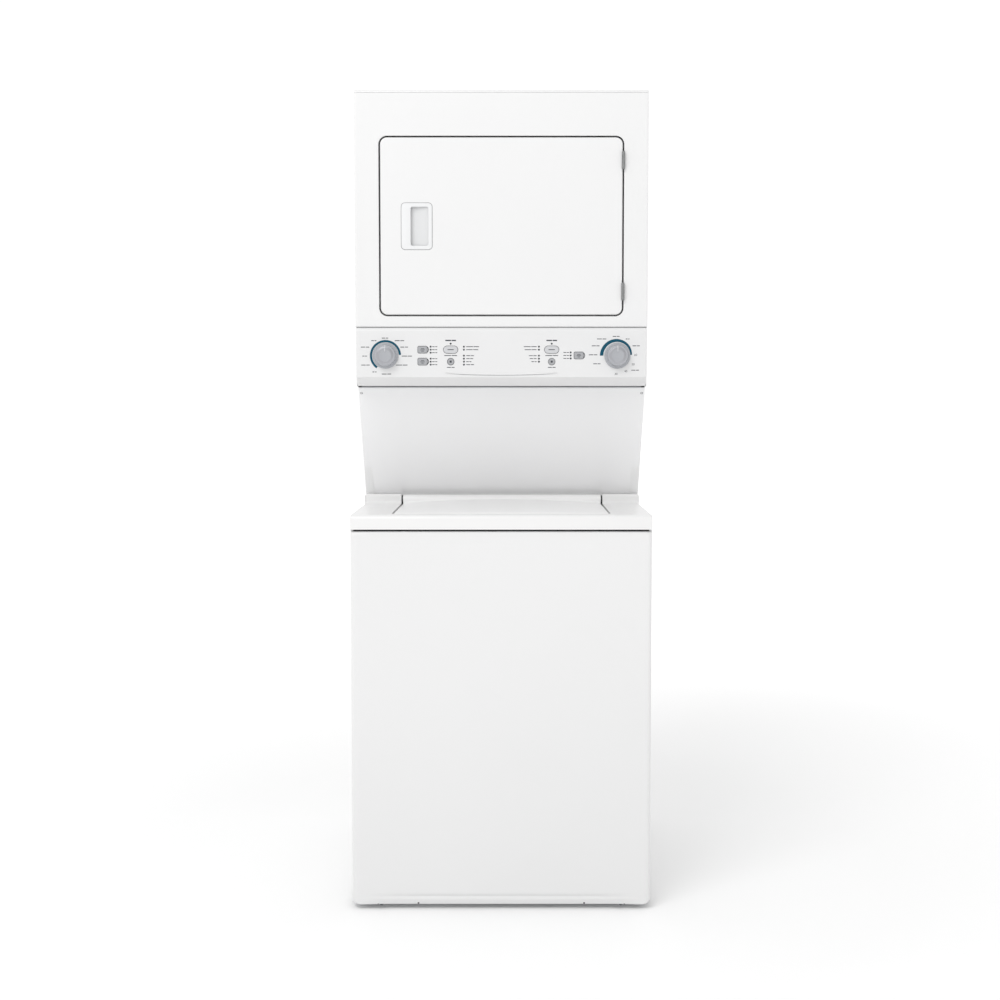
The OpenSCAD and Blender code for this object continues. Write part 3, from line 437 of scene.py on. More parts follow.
def camera():
    data = bpy.data.cameras.new("camera")
    made = bpy.data.objects.new("camera", data)
    made.location = (0.0178, -3.900, 1.185)
    made.rotation_euler = (math.radians(90 - 3.9), 0, 0)
    data.lens = 55.8
    data.shift_x = -0.009
    scene.collection.objects.link(made)
    scene.camera = made


def key_light():
    data = bpy.data.lights.new("key", "AREA")
    data.size = 2.6
    data.energy = 90
    made = bpy.data.objects.new("key", data)
    made.location = (-2.0, -3.75, 4.8)
    aim = Vector((0, -0.3, 1.0)) - made.location
    made.rotation_euler = aim.to_track_quat("-Z", "Y").to_euler()
    scene.collection.objects.link(made)


def stage():
    """A pale studio: brighter behind the object, and a floor that glows a little far away."""
    world = bpy.data.worlds.new("studio")
    world.use_nodes = True
    tree = world.node_tree
    background = tree.nodes["Background"]
    background.inputs["Color"].default_value = (1.0, 1.0, 1.0, 1)
    parts = tree.nodes.new("ShaderNodeSeparateXYZ")
    tree.links.new(tree.nodes.new("ShaderNodeTexCoord").outputs["Generated"], parts.inputs["Vector"])
    level = ramp(tree, parts.outputs["Y"], 0.45, 0.85, 0.82, 1.04)
    tree.links.new(level, background.inputs["Strength"])
    scene.world = world
    floor = finished("floor", lathe([(1, -4), (60000, -4), (60000, -20), (1, -20)], n=96))
    floor.location.z = 4 * MM
    pale = Finish("pale_floor", (0.93, 0.93, 0.93), 0.7)
    pale.vary_roughness(pale.noise(3), 0.1)
    pale.shader.inputs["Emission Color"].default_value = (1, 1, 1, 1)
    far = pale.node("ShaderNodeVectorMath", operation="LENGTH")
    pale.join(pale.place, far.inputs[0])
    glow = ramp(pale.tree, far.outputs["Value"], 1.0, 4.0, 0.07, 0.3)
    pale.join(glow, pale.shader.inputs["Emission Strength"])
    floor.data.materials.append(pale.material)
    scene.view_settings.view_transform = "Standard"


camera()
stage()
key_light()


# ---------- washer front ----------

def washer_front():
    """The pressed front: rolled edges, a raised top band and a crease above the toe."""
    y1 = high("washer_front_panel").y
    corner, foot_r, head_r, edge_r = 10, 15, 4, 4
    height = PANEL_TOP - PANEL_LOW
    levels = [0, 0.3, 1, 2, 3, 4, 6, 8, 10.5, 13, 15, 17, 19, 21, 23, 25, 28, 33, 40]
    levels += [height * k / 6 for k in range(1, 6)]
    levels += [height - t for t in (46, 38, 32, 27, 23, 19, 15, 11, 7, 4, 3, 2, 1, 0.3, 0)]

    def setback(x, t):
        inward = 1 - abs(x) / (X_OUT - corner)
        crease = 3.6 * math.exp(-(((t - 20.5) / 3.6) ** 2)) * ease(inward * 2.4)
        toe = 4.5 * ease((15 - t) / 13) * ease(inward * 4)
        top_band = 3.6 * max(0.0, 1 - (height - t) / (10 + 18 * ease(inward * 4))) ** 1.3
        return crease + toe + top_band + roll_back(t, edge_r) + roll_back(height - t, edge_r)

    rings = []
    for t in levels:
        half = X_OUT - roll_back(t, foot_r) - roll_back(height - t, head_r)
        z = PANEL_LOW + t
        line = arc(-half + corner, corner, corner, 180, 270, 6)
        line += [(math.sin(math.radians(90 * (k / 14 - 1))) * (half - corner) * 0.998, 0) for k in range(29)]
        line += arc(half - corner, corner, corner, 270, 360, 6)
        ring = [(x, Y_FRONT + setback(x, t) + y, z) for x, y in line]
        rings.append([(-half, y1, z), *ring, (half, y1, z)])
    piece("washer_front", loft(rings), ENAMEL, replaces=["washer_front_panel"])
    # A near-black strip behind the gap under the deck: painted shade in the gap.
    gap_shade = block((-X_OUT + 7, y1 + 0.2, PANEL_TOP - 8), (X_OUT - 7, y1 + 1.4, BAND_Z + 0.5))
    piece("front_gap_painted_shade", gap_shade, GAP_SHADE_BLACK, bevel=0.3)


# ---------- deck and lid ----------

def deck_profile(inset):
    """The deck's side view as [y, z], open below when it is used as a cutter."""
    nose, fillet, brow = 10 - inset, 8 + inset, 3 - inset * 0.5
    top, base = DECK_Z - inset, BAND_Z - inset * 3
    y0, y1, ry = Y_FRONT + inset, Y_BACK - inset, RISER_Y + inset
    points = [(y0, base)] + arc(y0 + nose, top - nose, nose, 180, 90, 10)
    points += arc(ry - fillet, top + fillet, fillet, 270, 360, 8)
    points += arc(ry + brow, RISER_Z - inset - brow, brow, 180, 90, 6)
    return points + [(y1, RISER_Z - inset), (y1, base)]


def deck():
    """The washer's top: a rounded nose, the well for the lid, and the riser behind it."""
    flat = deck_profile(0)
    cy, cz = sum(y for y, z in flat) / len(flat), BAND_Z + 14
    rings = []
    for draw, fall in reversed(roll(3, 5)):
        rings.append([(X_OUT - fall, y + math.copysign(min(draw, abs(cy - y)), cy - y), z - draw * (z > cz))
                      for y, z in flat])
    made = piece("washer_deck_top", loft(mirrored(rings)), ENAMEL_DECK_PAINTED_LIGHT, replaces=["washer_deck"])
    well_x, well_y0, well_y1, well_z = LID_HALF + 4, LID_Y0 - 4, LID_AXIS.y + 15, DECK_Z - 15
    hole_w, hole_y0, hole_y1 = 2 * LID_HALF - 46, well_y0 + 22, RISER_Y - 24
    hole_d, hole_y = hole_y1 - hole_y0, (hole_y0 + hole_y1) / 2
    above, below, wall = RISER_Z + 10, BAND_Z - 20, 1.6
    room = finished("room", across(deck_profile(wall), X_OUT - 2 * SHEET))
    cut_away(room, block((-well_x - wall, well_y0 - wall, well_z - wall),
                         (well_x + wall, well_y1 + wall, above)))
    cut_away(room, standing(hole_w + 2 * wall, hole_d + 2 * wall, 60, hole_y, below, RISER_Z))
    for x in (-well_x - 14, well_x + 14):
        cut_away(room, block((x - 14, LID_AXIS.y - 12, DECK_Z - 12), (x + 14, well_y1 + wall, above)))
    carve(made, room)
    cut_away(made, standing(2 * well_x, well_y1 - well_y0, 14, (well_y0 + well_y1) / 2, well_z, above, 6))
    cut_away(made, block((-well_x, RISER_Y - 20, well_z), (well_x, well_y1, above)))
    cut_away(made, standing(hole_w, hole_d, 60, hole_y, below, DECK_Z, 12))
    pins = bmesh.new()
    for s in (-1, 1):
        lathe([(4.3, s * (well_x - 1)), (4.3, s * (well_x + 13))], LID_AXIS, "X", 32, mesh=pins)
    cut_away(made, pins)
    smooth(made, 35)
    soften(made, 0.9, 3)
    skirt = standing_ring(hole_w, hole_d, 60, 2.2, hole_y, low("washer_deck").z, well_z + 0.2)
    piece("deck_splash_rim", skirt, WHITE_PLASTIC)


def standing_ring(w, d, r, wall, cy, z0, z1):
    """An upright tube with a rounded upper lip, inside that rounded rectangle."""
    lip, slim = wall * 0.3, wall * 0.7
    steps = [(0, z0), (0, z1), (lip, z1 + lip), (slim, z1 + lip), (wall, z1), (wall, z0), (slim, z0),
             (lip, z0)]
    return loft([[(u, cy + v, z) for u, v in rounded(w - 2 * inset, d - 2 * inset, r - inset, 12)]
                 for inset, z in steps], wrap=True)


def lid():
    """The lid: a crowned plate that runs up into its hinge barrel."""
    front_rise, rear_rise = 1.5, 10
    edge, plan_r, fillet = 3, 12, 5
    under = DECK_Z - 9
    ay, az = LID_AXIS.y, LID_AXIS.z

    def ring(x):
        """The side view at a station; the top drops a little near the two sides."""
        inside = LID_HALF - abs(x)
        y0 = LID_Y0 + roll_back(inside, plan_r)

        def top(y):
            along = (y - LID_Y0) / (RISER_Y - LID_Y0)
            rise = front_rise + (rear_rise - front_rise) * along
            return DECK_Z + rise * (1 - (x / LID_HALF) ** 2) - roll_back(inside, edge) * 0.9

        hub_z = top(RISER_Y) + fillet
        hub_y = ay - math.sqrt((BARREL_R + fillet) ** 2 - (hub_z - az) ** 2)
        lean = math.degrees(math.atan2(az - hub_z, ay - hub_y))
        points = [(y0 + 1.5, under), (y0 + 0.4, under + 0.5), (y0, under + 2)]
        points += arc(y0 + edge, top(y0) - edge, edge, 180, 95, 6)
        steps = [y0 + edge + (hub_y - y0 - edge) * k / 10 for k in range(1, 10)]
        points += [(y, top(y)) for y in steps] + arc(hub_y, hub_z, fillet, 270, 360 + lean, 6)
        points += arc(ay, az, BARREL_R, (lean + 180) % 360, -100, 20)[1:]
        return [(x, y, z) for y, z in points + [(RISER_Y + 5, under)]]

    xs = [LID_HALF - d for d in (0, 0.4, 1.1, 2.0, 3.0, 5, 8, 12)]
    xs += [LID_HALF * k / 10 for k in range(9, -1, -1)]
    rings = [ring(x) for x in [-x for x in xs] + xs[-2::-1]]
    piece("lid_plate", loft(rings), ENAMEL_LID_PAINTED_LIGHT, "lid", ["washer_lid"], 50)
    pins, collars = bmesh.new(), bmesh.new()
    pin = ((4, -6), (4, 11), (3.2, 12))
    collar = ((4.4, 0.4), (10.2, 0.4), (10.8, 0.8), (10.8, 3.2), (10.2, 3.6), (4.4, 3.6))
    for s in (-1, 1):
        lathe([(r, s * (LID_HALF + x)) for r, x in pin], LID_AXIS, "X", 32, mesh=pins)
        lathe([(r, s * (LID_HALF + x)) for r, x in collar], LID_AXIS, "X", 40, True, mesh=collars)
    piece("lid_hinge_pins", pins, STEEL, "lid", crease=50)
    piece("lid_hinge_collars", collars, BLACK_PLASTIC, "lid", crease=40)


def lid_liner():
    """The white liner under the lid, with a raised field, its bumpers and the lock's tongue."""
    top, y0, y1 = DECK_Z - 9.1, LID_Y0 + 6, RISER_Y - 4
    w, d, cy = 2 * LID_HALF - 12, y1 - y0, (y0 + y1) / 2
    rings = []
    for inset, depth in ((0.8, 0), (0, 0.8), (0, 3.0), (0.6, 3.7), (2, 3.9), (34, 3.9), (37, 3.4), (40, 2.0),
                         (43, 1.6), (90, 1.5)):
        plan = rounded(w - 2 * inset, d - 2 * inset, max(24 - inset * 0.4, 8))
        rings.append([(u, cy + v, top - depth) for u, v in plan])
    mesh = loft(rings)
    for x in (-190, 190):
        lathe([(6, -3), (6, -5), (4.5, -5.7)], (x, LID_Y0 + 14, top), n=24, mesh=mesh)
    block((140, LID_Y0 + 2.5, low("lid_liner").z + 0.8), (168, LID_Y0 + 8, top), mesh)
    piece("lid_inner", mesh, WHITE_PLASTIC, "lid", ["lid_liner"], 40)


def access_panel():
    """The sloping sheet between the washer and the console, folded at its head and foot."""
    fold, flange, half = 2.5, 22, X_OUT - 0.5
    foot, head = SLOPE_FOOT, SLOPE_HEAD
    tilt = math.degrees(math.atan2(SLOPE.y, SLOPE.x))
    low_hub = (foot.x + fold / math.tan(math.radians(180 - tilt) / 2), foot.y + fold)
    high_hub = (head.x + fold / math.tan(math.radians(tilt) / 2), head.y - fold)

    def side(inset):
        """The folded line from the foot flange round to the head flange, as [y, z]."""
        points = [(foot.x + flange, foot.y + inset)] + arc(*low_hub, fold - inset, 270, tilt + 90, 6)
        return points + arc(*high_hub, fold - inset, tilt + 90, 90) + [(head.x + flange, head.y - inset)]

    # A dark grey strip in the seam under the console: painted shade.
    gap_shade = block((-half + 8, head.x + 1.5, head.y - 1), (half - 8, head.x + 9, CONSOLE_Z + 0.2))
    piece("access_panel_gap_shade", gap_shade, GAP_SHADE_GREY, bevel=0.3)
    sheet = across(side(0) + side(SHEET)[::-1], half)
    piece("access_panel_sheet", sheet, ENAMEL_PANEL_PAINTED_LIGHT, replaces=["access_panel"], bevel=0.3)


# ---------- dryer front, door and handle ----------

def door_ring(grow, y, r=None):
    """The door's outline, grown and set at a depth."""
    plan = rounded(DOOR_SIZE.x + 2 * grow, DOOR_SIZE.z + 2 * grow, 16 + grow if r is None else r, 10)
    return facing(plan, y, 0, DOOR.z)


def mouth_ring(grow, y, n=10):
    """The loading hole's outline, grown and set at a depth."""
    return facing(rounded(420 + 2 * grow, 330 + 2 * grow, 120 + grow, n), y, 0, DOOR.z)


def dryer_front():
    """The dryer's front sheet: rolled sides, the door well, and the loading hole."""
    z0, z1 = low("dryer_front_panel").z, high("dryer_front_panel").z
    cz, w, h = (z0 + z1) / 2, 2 * X_OUT, z1 - z0
    side, lip, edge, t = 6, 1.5, 2.2, SHEET
    rings = []
    for inset, fall in roll(side, 8):
        ring = rounded(w - 2 * inset, h - 2 * inset * lip / side, 1.5, 10)
        rings.append([(u, DRYER_Y + fall * (1 if abs(v) < h / 2 - 2 * lip else 0.3), cz + v)
                      for u, v in ring])
    floor = WELL_FLOOR - t
    rings += [door_ring(DOOR_GAP + fall, DRYER_Y + inset) for inset, fall in roll(edge, 6)]
    rings += [door_ring(DOOR_GAP - inset, floor - fall) for inset, fall in roll(3, 4)]
    rings += [mouth_ring(grow, y) for grow, y in (
        (3, floor), (1.2, floor + 0.2), (0.3, floor + 0.7), (0, WELL_FLOOR), (2, WELL_FLOOR))]
    rings += [door_ring(grow, y, 19) for grow, y in (
        (DOOR_GAP + t, WELL_FLOOR), (DOOR_GAP + t, DRYER_Y + edge + t), (DOOR_GAP + edge + t, DRYER_Y + t))]
    rings.append(facing(rounded(w - 2 * side, h - 2 * lip, 1.5, 10), DRYER_Y + t, 0, cz))
    rings.append(facing(rounded(w - 2 * t, h - 2 * t, 1, 10), DRYER_Y + side, 0, cz))
    made = piece("dryer_front_sheet", loft(rings, True), ENAMEL, replaces=["dryer_front_panel"], crease=40)
    # A dark grey strip in the seam between the console and the dryer front: painted shade.
    seam_shade = block((-X_OUT + 4, DRYER_Y + 1.5, CONSOLE_TOP - 0.3), (X_OUT - 4, DRYER_Y + 5, z0 + 0.3))
    piece("dryer_console_gap_shade", seam_shade, GAP_SHADE_GREY, bevel=0.3)
    cut_away(made, slab(rounded(16, 32, 3, 6), WELL_FLOOR - 4, WELL_FLOOR + 4, -242, DOOR.z))
    smooth(made, 40)
    even(made)
    # A near-black band on the door well's edge: painted shade in the door gap.
    gap_band = band(door_ring, DOOR_GAP - 0.25, DOOR_GAP + 0.1, DRYER_Y + 3, DRYER_Y + 11)
    piece("door_well_gap_shade", gap_band, GAP_SHADE_BLACK)


def dryer_cap():
    """The dryer's top sheet with its rolled front edge."""
    r = 6
    side = [(Y_BACK, TOP_Z)] + arc(DRYER_Y + r, TOP_Z - r, r, 90, 180, 10)
    side += arc(DRYER_Y + r, TOP_Z - r, r - SHEET, 180, 90, 10) + [(Y_BACK, TOP_Z - SHEET)]
    rings = [[(X_OUT - inset, y, max(z - drop, TOP_Z - r)) for y, z in side]
             for inset, drop in ((0, 1.1), (0.2, 0.5), (0.6, 0.1), (1.4, 0))]
    piece("dryer_top_sheet", loft(mirrored(rings)), ENAMEL, replaces=["dryer_top"], crease=40)


def door():
    """The door's outer pan with rolled edges and the hole for its handle."""
    back, edge, t = high("door_outer").y, 3.2, SHEET
    rings = [door_ring(0, back), door_ring(0, DOOR_FACE + edge)]
    rings += [door_ring(-inset, DOOR_FACE + fall) for inset, fall in roll(edge, 7, 1)]
    rings += [facing(rounded(66 + 2 * grow, 102 + 2 * grow, 7 + grow, 10), DOOR_FACE + y, PULL_X, DOOR.z)
              for grow, y in ((0.6, 0), (0.1, 0.3), (0, t))]
    rings += [door_ring(-edge, DOOR_FACE + t), door_ring(-t, DOOR_FACE + edge), door_ring(-t, back)]
    even(piece("door_panel", loft(rings, True), ENAMEL, "door", ["door_outer"], 40))
    # A near-black band on the door's edge: painted shade in the door gap.
    piece("door_edge_gap_shade", band(door_ring, 0.3, -0.1, DOOR_FACE + 3.6, DOOR_FACE + 9), GAP_SHADE_BLACK, "door")


def handle():
    """The recessed pull: a raised rim and a pocket that is deepest under its left lip."""
    rim, back = low("door_handle").y, high("door_handle").y
    px, pw, ph = PULL_X + 6.5, 41, 90
    floor = back - 1.6

    def outer(inset, y):
        return facing(rounded(72 - 2 * inset, 108 - 2 * inset, 9 - inset), y, PULL_X, DOOR.z)

    def pocket(grow, y=0):
        return facing(rounded(pw + 2 * grow, ph + 2 * grow, 5 + grow), y, px, DOOR.z)

    def slant(x):
        """The pocket's floor: deep at the left and rising to the right."""
        return floor + (rim + 5 - floor) * ease((x - px + pw * 0.1) / (pw * 0.55))

    # A thin dark ring round the pull's rim: painted shade for the shadow gap at its edge.
    line = band(outer, 2, -0.8, DOOR_FACE + 0.05, DOOR_FACE - 0.04)
    piece("door_pull_shade_ring", line, RUBBER, "door")
    rings = [outer(3.5, back), outer(3.5, DOOR_FACE - 0.05), outer(0, DOOR_FACE - 0.05)]
    rings += [outer(inset, rim + fall) for inset, fall in roll(1.2, 4, 1)]
    rings += [pocket(grow, y) for grow, y in (
        (1.6, rim), (0.7, rim + 0.25), (0.1, rim + 1.2), (0.1, rim + 3), (1.3, rim + 3), (1.3, back))]
    piece("door_pull", loft(rings, True), WHITE_PLASTIC, "door", ["door_handle"], 40)
    # The pocket takes the darker plastic: painted shade in the recess.
    cup = [pocket(1, back - 0.2), pocket(1, rim + 1.6), pocket(0.05, rim + 1.4)]
    for grow, depth, reach in ((0, 4.5, 0), (0, 8, 3), (-1, 99, 4)):
        cup.append([(x - reach * (x < px), min(rim + depth, slant(x)), z) for x, _, z in pocket(grow)])
    piece("door_pull_cup", loft(cup), PULL_CUP_SHADE, "door", crease=40)


# ---------- console ----------

def console_profile(inset):
    """The console's side view as [y, z]: shoulder, upright face and the bevel below it."""
    y0, top, base = FACE_Y + inset, CONSOLE_TOP - inset, CONSOLE_Z + inset
    shoulder, bend = 9 - inset / 2, 3
    back = high("console_shell").y
    knee = Vector((y0, CONSOLE_Z + 20 + inset / 2))
    toe = Vector((back - 1 - 0.3 * inset, base))
    angle = math.degrees(math.atan2(toe.y - knee.y, toe.x - knee.x)) + 360
    reach = bend * math.tan(math.radians((angle - 270) / 2))
    points = [(back, top)] + arc(y0 + shoulder, top - shoulder, shoulder, 90, 180)
    points += arc(y0 + bend, knee.y + reach, bend, 180, angle - 90, 6)
    return points + [(toe.x, base), (back, base)]


def button_plan(kind, grow=0.0):
    w, h, r = {"pill": (33, 16.6, 8.25), "round": (15, 15, 7.45), "option": (21.4, 15.4, 2.6)}[kind]
    return rounded(w + 2 * grow, h + 2 * grow, r + grow)


BUTTONS = {
    "washer_start_button": "pill", "dryer_start_button": "pill",
    "washer_cancel_button": "round", "dryer_cancel_button": "round",
    "washer_temp_button": "option", "washer_soil_button": "option", "dryer_temp_button": "option",
}
OPTION_LAMPS = {"washer_temp_button": 19, "washer_soil_button": 19, "dryer_temp_button": -19}
LAMP_PITCH, LAMP_X = 7, 88


def lamp_places():
    """The lamp holes, as [x, z], set out from the buttons that they belong to."""
    places = []
    for node, side in OPTION_LAMPS.items():
        c = middle(node)
        places += [(c.x + side, c.z + i * LAMP_PITCH) for i in (-1, 0, 1)]
    for s, node in ((-1, "washer_start_button"), (1, "dryer_start_button")):
        c = middle(node)
        places.append((c.x, c.z + 14))
        places += [(s * LAMP_X, c.z + i * LAMP_PITCH) for i in (1, 0, -2, -3, -4, -5)[:6 if s < 0 else 5]]
    return places


def console():
    """The console's housing, hollow, with holes for its buttons, lamps and knob shafts."""
    rings = [[(CONSOLE_X - side, y, z) for y, z in console_profile(inset)] for side, inset in roll(3, 5)]
    made = piece("console_housing", loft(mirrored(rings)), CONSOLE, replaces=["console_shell"])
    inner = CONSOLE_X - 3
    cut_away(made, across(console_profile(3), inner))
    cut_away(made, block((-inner, high("console_shell").y - 3.5, CONSOLE_Z + 3),
                         (inner, DRYER_Y + 40, CONSOLE_TOP - 3)))
    ends = (FACE_Y - 1, FACE_Y + 5)
    holes = bmesh.new()
    for node, kind in BUTTONS.items():
        slab(button_plan(kind, 0.4), *ends, middle(node).x, middle(node).z, holes)
    for node in ("washer_knob", "dryer_knob"):
        c = middle(node)
        lathe([(6, y) for y in ends], (c.x, 0, c.z), "Y", 32, mesh=holes)
    for x, z in lamp_places():
        lathe([(1.5, y) for y in ends], (x, 0, z), "Y", 16, mesh=holes)
    cut_away(made, holes)
    smooth(made, 30)
    even(made)


def console_trim():
    """The end caps' grooves and the curved lip under the middle of the face."""
    mesh = bmesh.new()
    for x in (10 - CONSOLE_X, CONSOLE_X - 10):
        block((x - 0.5, FACE_Y - 0.05, CONSOLE_Z + 22), (x + 0.5, FACE_Y + 0.4, CONSOLE_TOP - 10), mesh)
    piece("console_grooves", mesh, CONSOLE)

    def bow(section, thick, power, base):
        """A section in [out, up] carried along the lip's curve and tapered to its ends."""
        rings = []
        for k in range(41):
            t = k / 20 - 1
            tall = thick * max(0.04, 1 - abs(t) ** power)
            rings.append([(132 * t, FACE_Y + out, base + 3.8 * t * t + up * tall) for out, up in section])
        return loft(rings)

    lip = ((0.3, 1.4), (-0.2, 1.2), (-1.2, 0.3), (-1.7, -0.3), (-1.6, -0.6), (0.3, -0.75))
    piece("console_lip", bow(lip, 2.4, 6, CONSOLE_Z + 27), CONSOLE, crease=60)
    # A thin grey line just under the lip: painted shadow.
    line = ((0.2, 1), (-0.08, 1), (-0.08, -1), (0.2, -1))
    piece("console_lip_shadow_line", bow(line, 0.9, 4, CONSOLE_Z + 24.8), SHADE)


SIGNS = {
    "round": [(0, 5, 5, 1, 4)], "pill": [(0, 15, 1.8, 0.8, 3)],
    "option": [(2.4, 8, 1.3, 0.5, 3), (-0.6, 11, 1.3, 0.5, 3), (-3.6, 6, 1.3, 0.5, 3)],
}


def button(node, kind):
    """A cap with rolled edges and a shallow dish, its flange, and its stem."""
    c = middle(node)
    front, back = low(node).y, high(node).y
    flange0, flange1 = FACE_Y + 3.4, FACE_Y + 5.5
    depth = 0.8 if kind == "round" else 0.25

    def ring(grow, y, share=1.0):
        return facing([(u * share, v * share) for u, v in button_plan(kind, grow)], y, c.x, c.z)

    rings = [ring(0, front + depth, 0.35), ring(0, front + depth * 0.8, 0.7)]
    rings += [ring(-inset, front + fall) for inset, fall in reversed(roll(1, 5))]
    rings += [ring(0, flange0), ring(1.5, flange0), ring(1.5, flange1)]
    stem = [(3 * u / math.hypot(u, v), 3 * v / math.hypot(u, v)) for u, v in button_plan(kind)]
    rings += [facing(stem, y, c.x, c.z) for y in (flange1, back)]
    piece(node + "_cap", loft(rings), BUTTON_PALE if kind == "pill" else BUTTON_GREY, node, [node], 40)
    piece(node + "_rim", band(ring, 0.45, 1.1, FACE_Y + 0.1, FACE_Y - 0.1), INK)
    sign = bmesh.new()
    for dz, w, h, r, n in SIGNS[kind]:
        slab(rounded(w, h, r, n), front + depth + 0.1, front + depth - 0.08, c.x, c.z + dz, sign)
    piece(node + "_sign", sign, INK, node, slot="button_plastic")


def knob(node):
    """A turned knob: skirt, fluted grip, dished cap and a pale pointer."""
    c = middle(node)
    front, back = low(node).y, high(node).y
    place = (c.x, FACE_Y, c.z)
    skirt = [(3, back - FACE_Y), (3, 0.9), (29.5, -0.4), (30.3, -0.9), (30.5, -1.8), (30.2, -3.0),
             (29.2, -3.9), (27.6, -4.3), (26.0, -4.2)]
    grip = [(25.2, -4.6), (24.9, -6), (24.3, -12), (23.9, -18), (23.4, -19.3), (22.4, -20), (21.0, -20.1),
            (20.4, -19.7)]
    cap = [(20.3, -19.0), (20.3, -19.6), (19.8, -19.9), (12, -19.6), (1, -19.4)]

    def flute(a, r, along):
        return -0.22 * (1 + math.cos(48 * a)) * (-18.5 < along < -5)

    piece(node + "_body", lathe(skirt + grip, place, "Y", 192, ripple=flute), KNOB_SILVER, node, [node], 40)
    piece(node + "_face", lathe(cap, place, "Y", 96), KNOB_CAP, node, crease=40)
    steps = ((1, 1, FACE_Y - 18), (1, 1, FACE_Y - 20.3), (0.85, 0.97, FACE_Y - 20.8), (0.4, 0.9, front))
    spine = loft([facing([(u * k, v * m) for u, v in rounded(2.4, 15, 1.1, 6)], y, c.x, c.z + 16.2)
                  for k, m, y in steps])
    piece(node + "_pointer", spine, POINTER, node, crease=50)


def dial_arc(node, name, start, wide, reach, power=1.0):
    """A printed arc round a knob; its width and radius change from its start to its end."""
    c, end, steps = middle(node), 3, 72
    rows = []
    for k in range(steps + 1):
        t = k / steps
        a = math.radians(start + (end - start) * t)
        r1 = reach[0] + (reach[1] - reach[0]) * t ** power
        r0 = r1 - wide[0] - (wide[1] - wide[0]) * t ** power
        rows.append([(c.x + r * math.cos(a), FACE_Y + y, c.z + r * math.sin(a))
                     for r, y in ((r0, 0.1), (r0, -0.12), (r1, -0.12), (r1, 0.1))])
    piece(name, loft(rows), INK_BLUE)


def mark(mesh, x, z, w, h=1.8):
    """One printed bar, a stand-in for a line of small print."""
    slab(rounded(w, h, min(0.5, h * 0.45), 3), FACE_Y + 0.1, FACE_Y - 0.1, x, z, mesh)


def dashes(mesh, x, z, w, h=1.8):
    """A bar broken into word-like lengths."""
    if w < 9:
        return mark(mesh, x, z, w, h)
    first = (w - 1.3) * 0.56
    second = w - 1.3 - first
    mark(mesh, x - w / 2 + first / 2, z, first, h)
    mark(mesh, x + w / 2 - second / 2, z, second, h)


def print_on_console():
    """Plain bars in place of the words, round the dials and beside the lamps."""
    mesh = bmesh.new()
    for node, around in (
            ("washer_knob", ((-27, 35, 12), (-1, 41, 15), (33, 35, 22), (-48, 20, 20), (44, 20, 18),
                             (-49, -1, 11), (50, -1, 24), (-47, -22, 20), (38, -22, 27), (-26, -38, 10),
                             (2, -43, 22))),
            ("dryer_knob", ((-37, 39, 22), (-3, 45, 16), (24, 39, 9), (-51, 23, 18), (44, 23, 17),
                            (-57, 2, 20), (-48, -19, 17), (42, -34, 18)))):
        for dx, dz, w in around:
            dashes(mesh, middle(node).x + dx, middle(node).z + dz, w)
    for s, side in ((-1, "washer"), (1, "dryer")):
        start, cancel = middle(side + "_start_button"), middle(side + "_cancel_button")
        dashes(mesh, start.x, start.z + 21.5, 25, 3)
        dashes(mesh, start.x, start.z - 13.8, 30)
        dashes(mesh, cancel.x, cancel.z - 13.4, 18)
        rows = [(7, 30), (0, 28), (-14, 18), (-21, 16), (-28, 12)] + ([(-35, 18)] if s < 0 else [])
        for dz, w in rows:
            dashes(mesh, s * (LAMP_X - 5.5 - w / 2), start.z + dz, w, 1.7)
    for node, side in OPTION_LAMPS.items():
        c = middle(node)
        bow = arc(6.5, 0, 8.4, -52, 52, 10) + arc(6.5, 0, 6.6, 52, -52, 10)
        slab(bow, FACE_Y + 0.1, FACE_Y - 0.1, c.x, c.z, mesh)
        for i in (-1, 0, 1):
            dx, w = (28.5, 12) if side > 0 else (-29.5, 13)
            dashes(mesh, c.x + dx, c.z + i * LAMP_PITCH, w, 1.7)
    piece("console_print", mesh, INK)


def dial_numbers():
    """The timer's minutes, printed beside the dryer knob."""
    c = middle("dryer_knob")
    for text, dx, dz in (("60", 43, 1.5), ("50", 37, -20.5), ("40", 20, -36.5), ("30", -3, -43)):
        curve = bpy.data.curves.new("minutes", "FONT")
        curve.body = text
        curve.size = 7 * MM
        curve.align_x, curve.align_y = "CENTER", "CENTER"
        curve.extrude = 0.08 * MM
        words = bpy.data.objects.new("minutes", curve)
        scene.collection.objects.link(words)
        graph = bpy.context.evaluated_depsgraph_get()
        data = bpy.data.meshes.new_from_object(words.evaluated_get(graph))
        bpy.data.objects.remove(words)
        made = bpy.data.objects.new(f"dryer_minutes_{text}", data)
        data.materials.clear()
        data.materials.append(INK[0])
        scene.collection.objects.link(made)
        place = Vector((c.x + dx, FACE_Y - 0.05, c.z + dz)) * MM
        data.transform(Matrix.Translation(place) @ Matrix.Rotation(math.radians(90), 4, "X"))
        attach(made, "root")


def lamps():
    """Small dark lenses in the console's lamp holes."""
    lenses, rims = bmesh.new(), bmesh.new()
    dome = [(1.45, 0.8), (1.45, -0.25), (1.25, -0.45), (0.8, -0.62), (0.2, -0.7)]
    flat = [(1.55, 0.1), (1.55, -0.1), (2.3, -0.1), (2.3, 0.1)]
    for x, z in lamp_places():
        lathe(dome, (x, FACE_Y, z), "Y", 16, mesh=lenses)
        lathe(flat, (x, FACE_Y, z), "Y", 16, True, mesh=rims)
    piece("console_lamps", lenses, LAMP, crease=50)
    piece("console_lamp_rims", rims, INK)


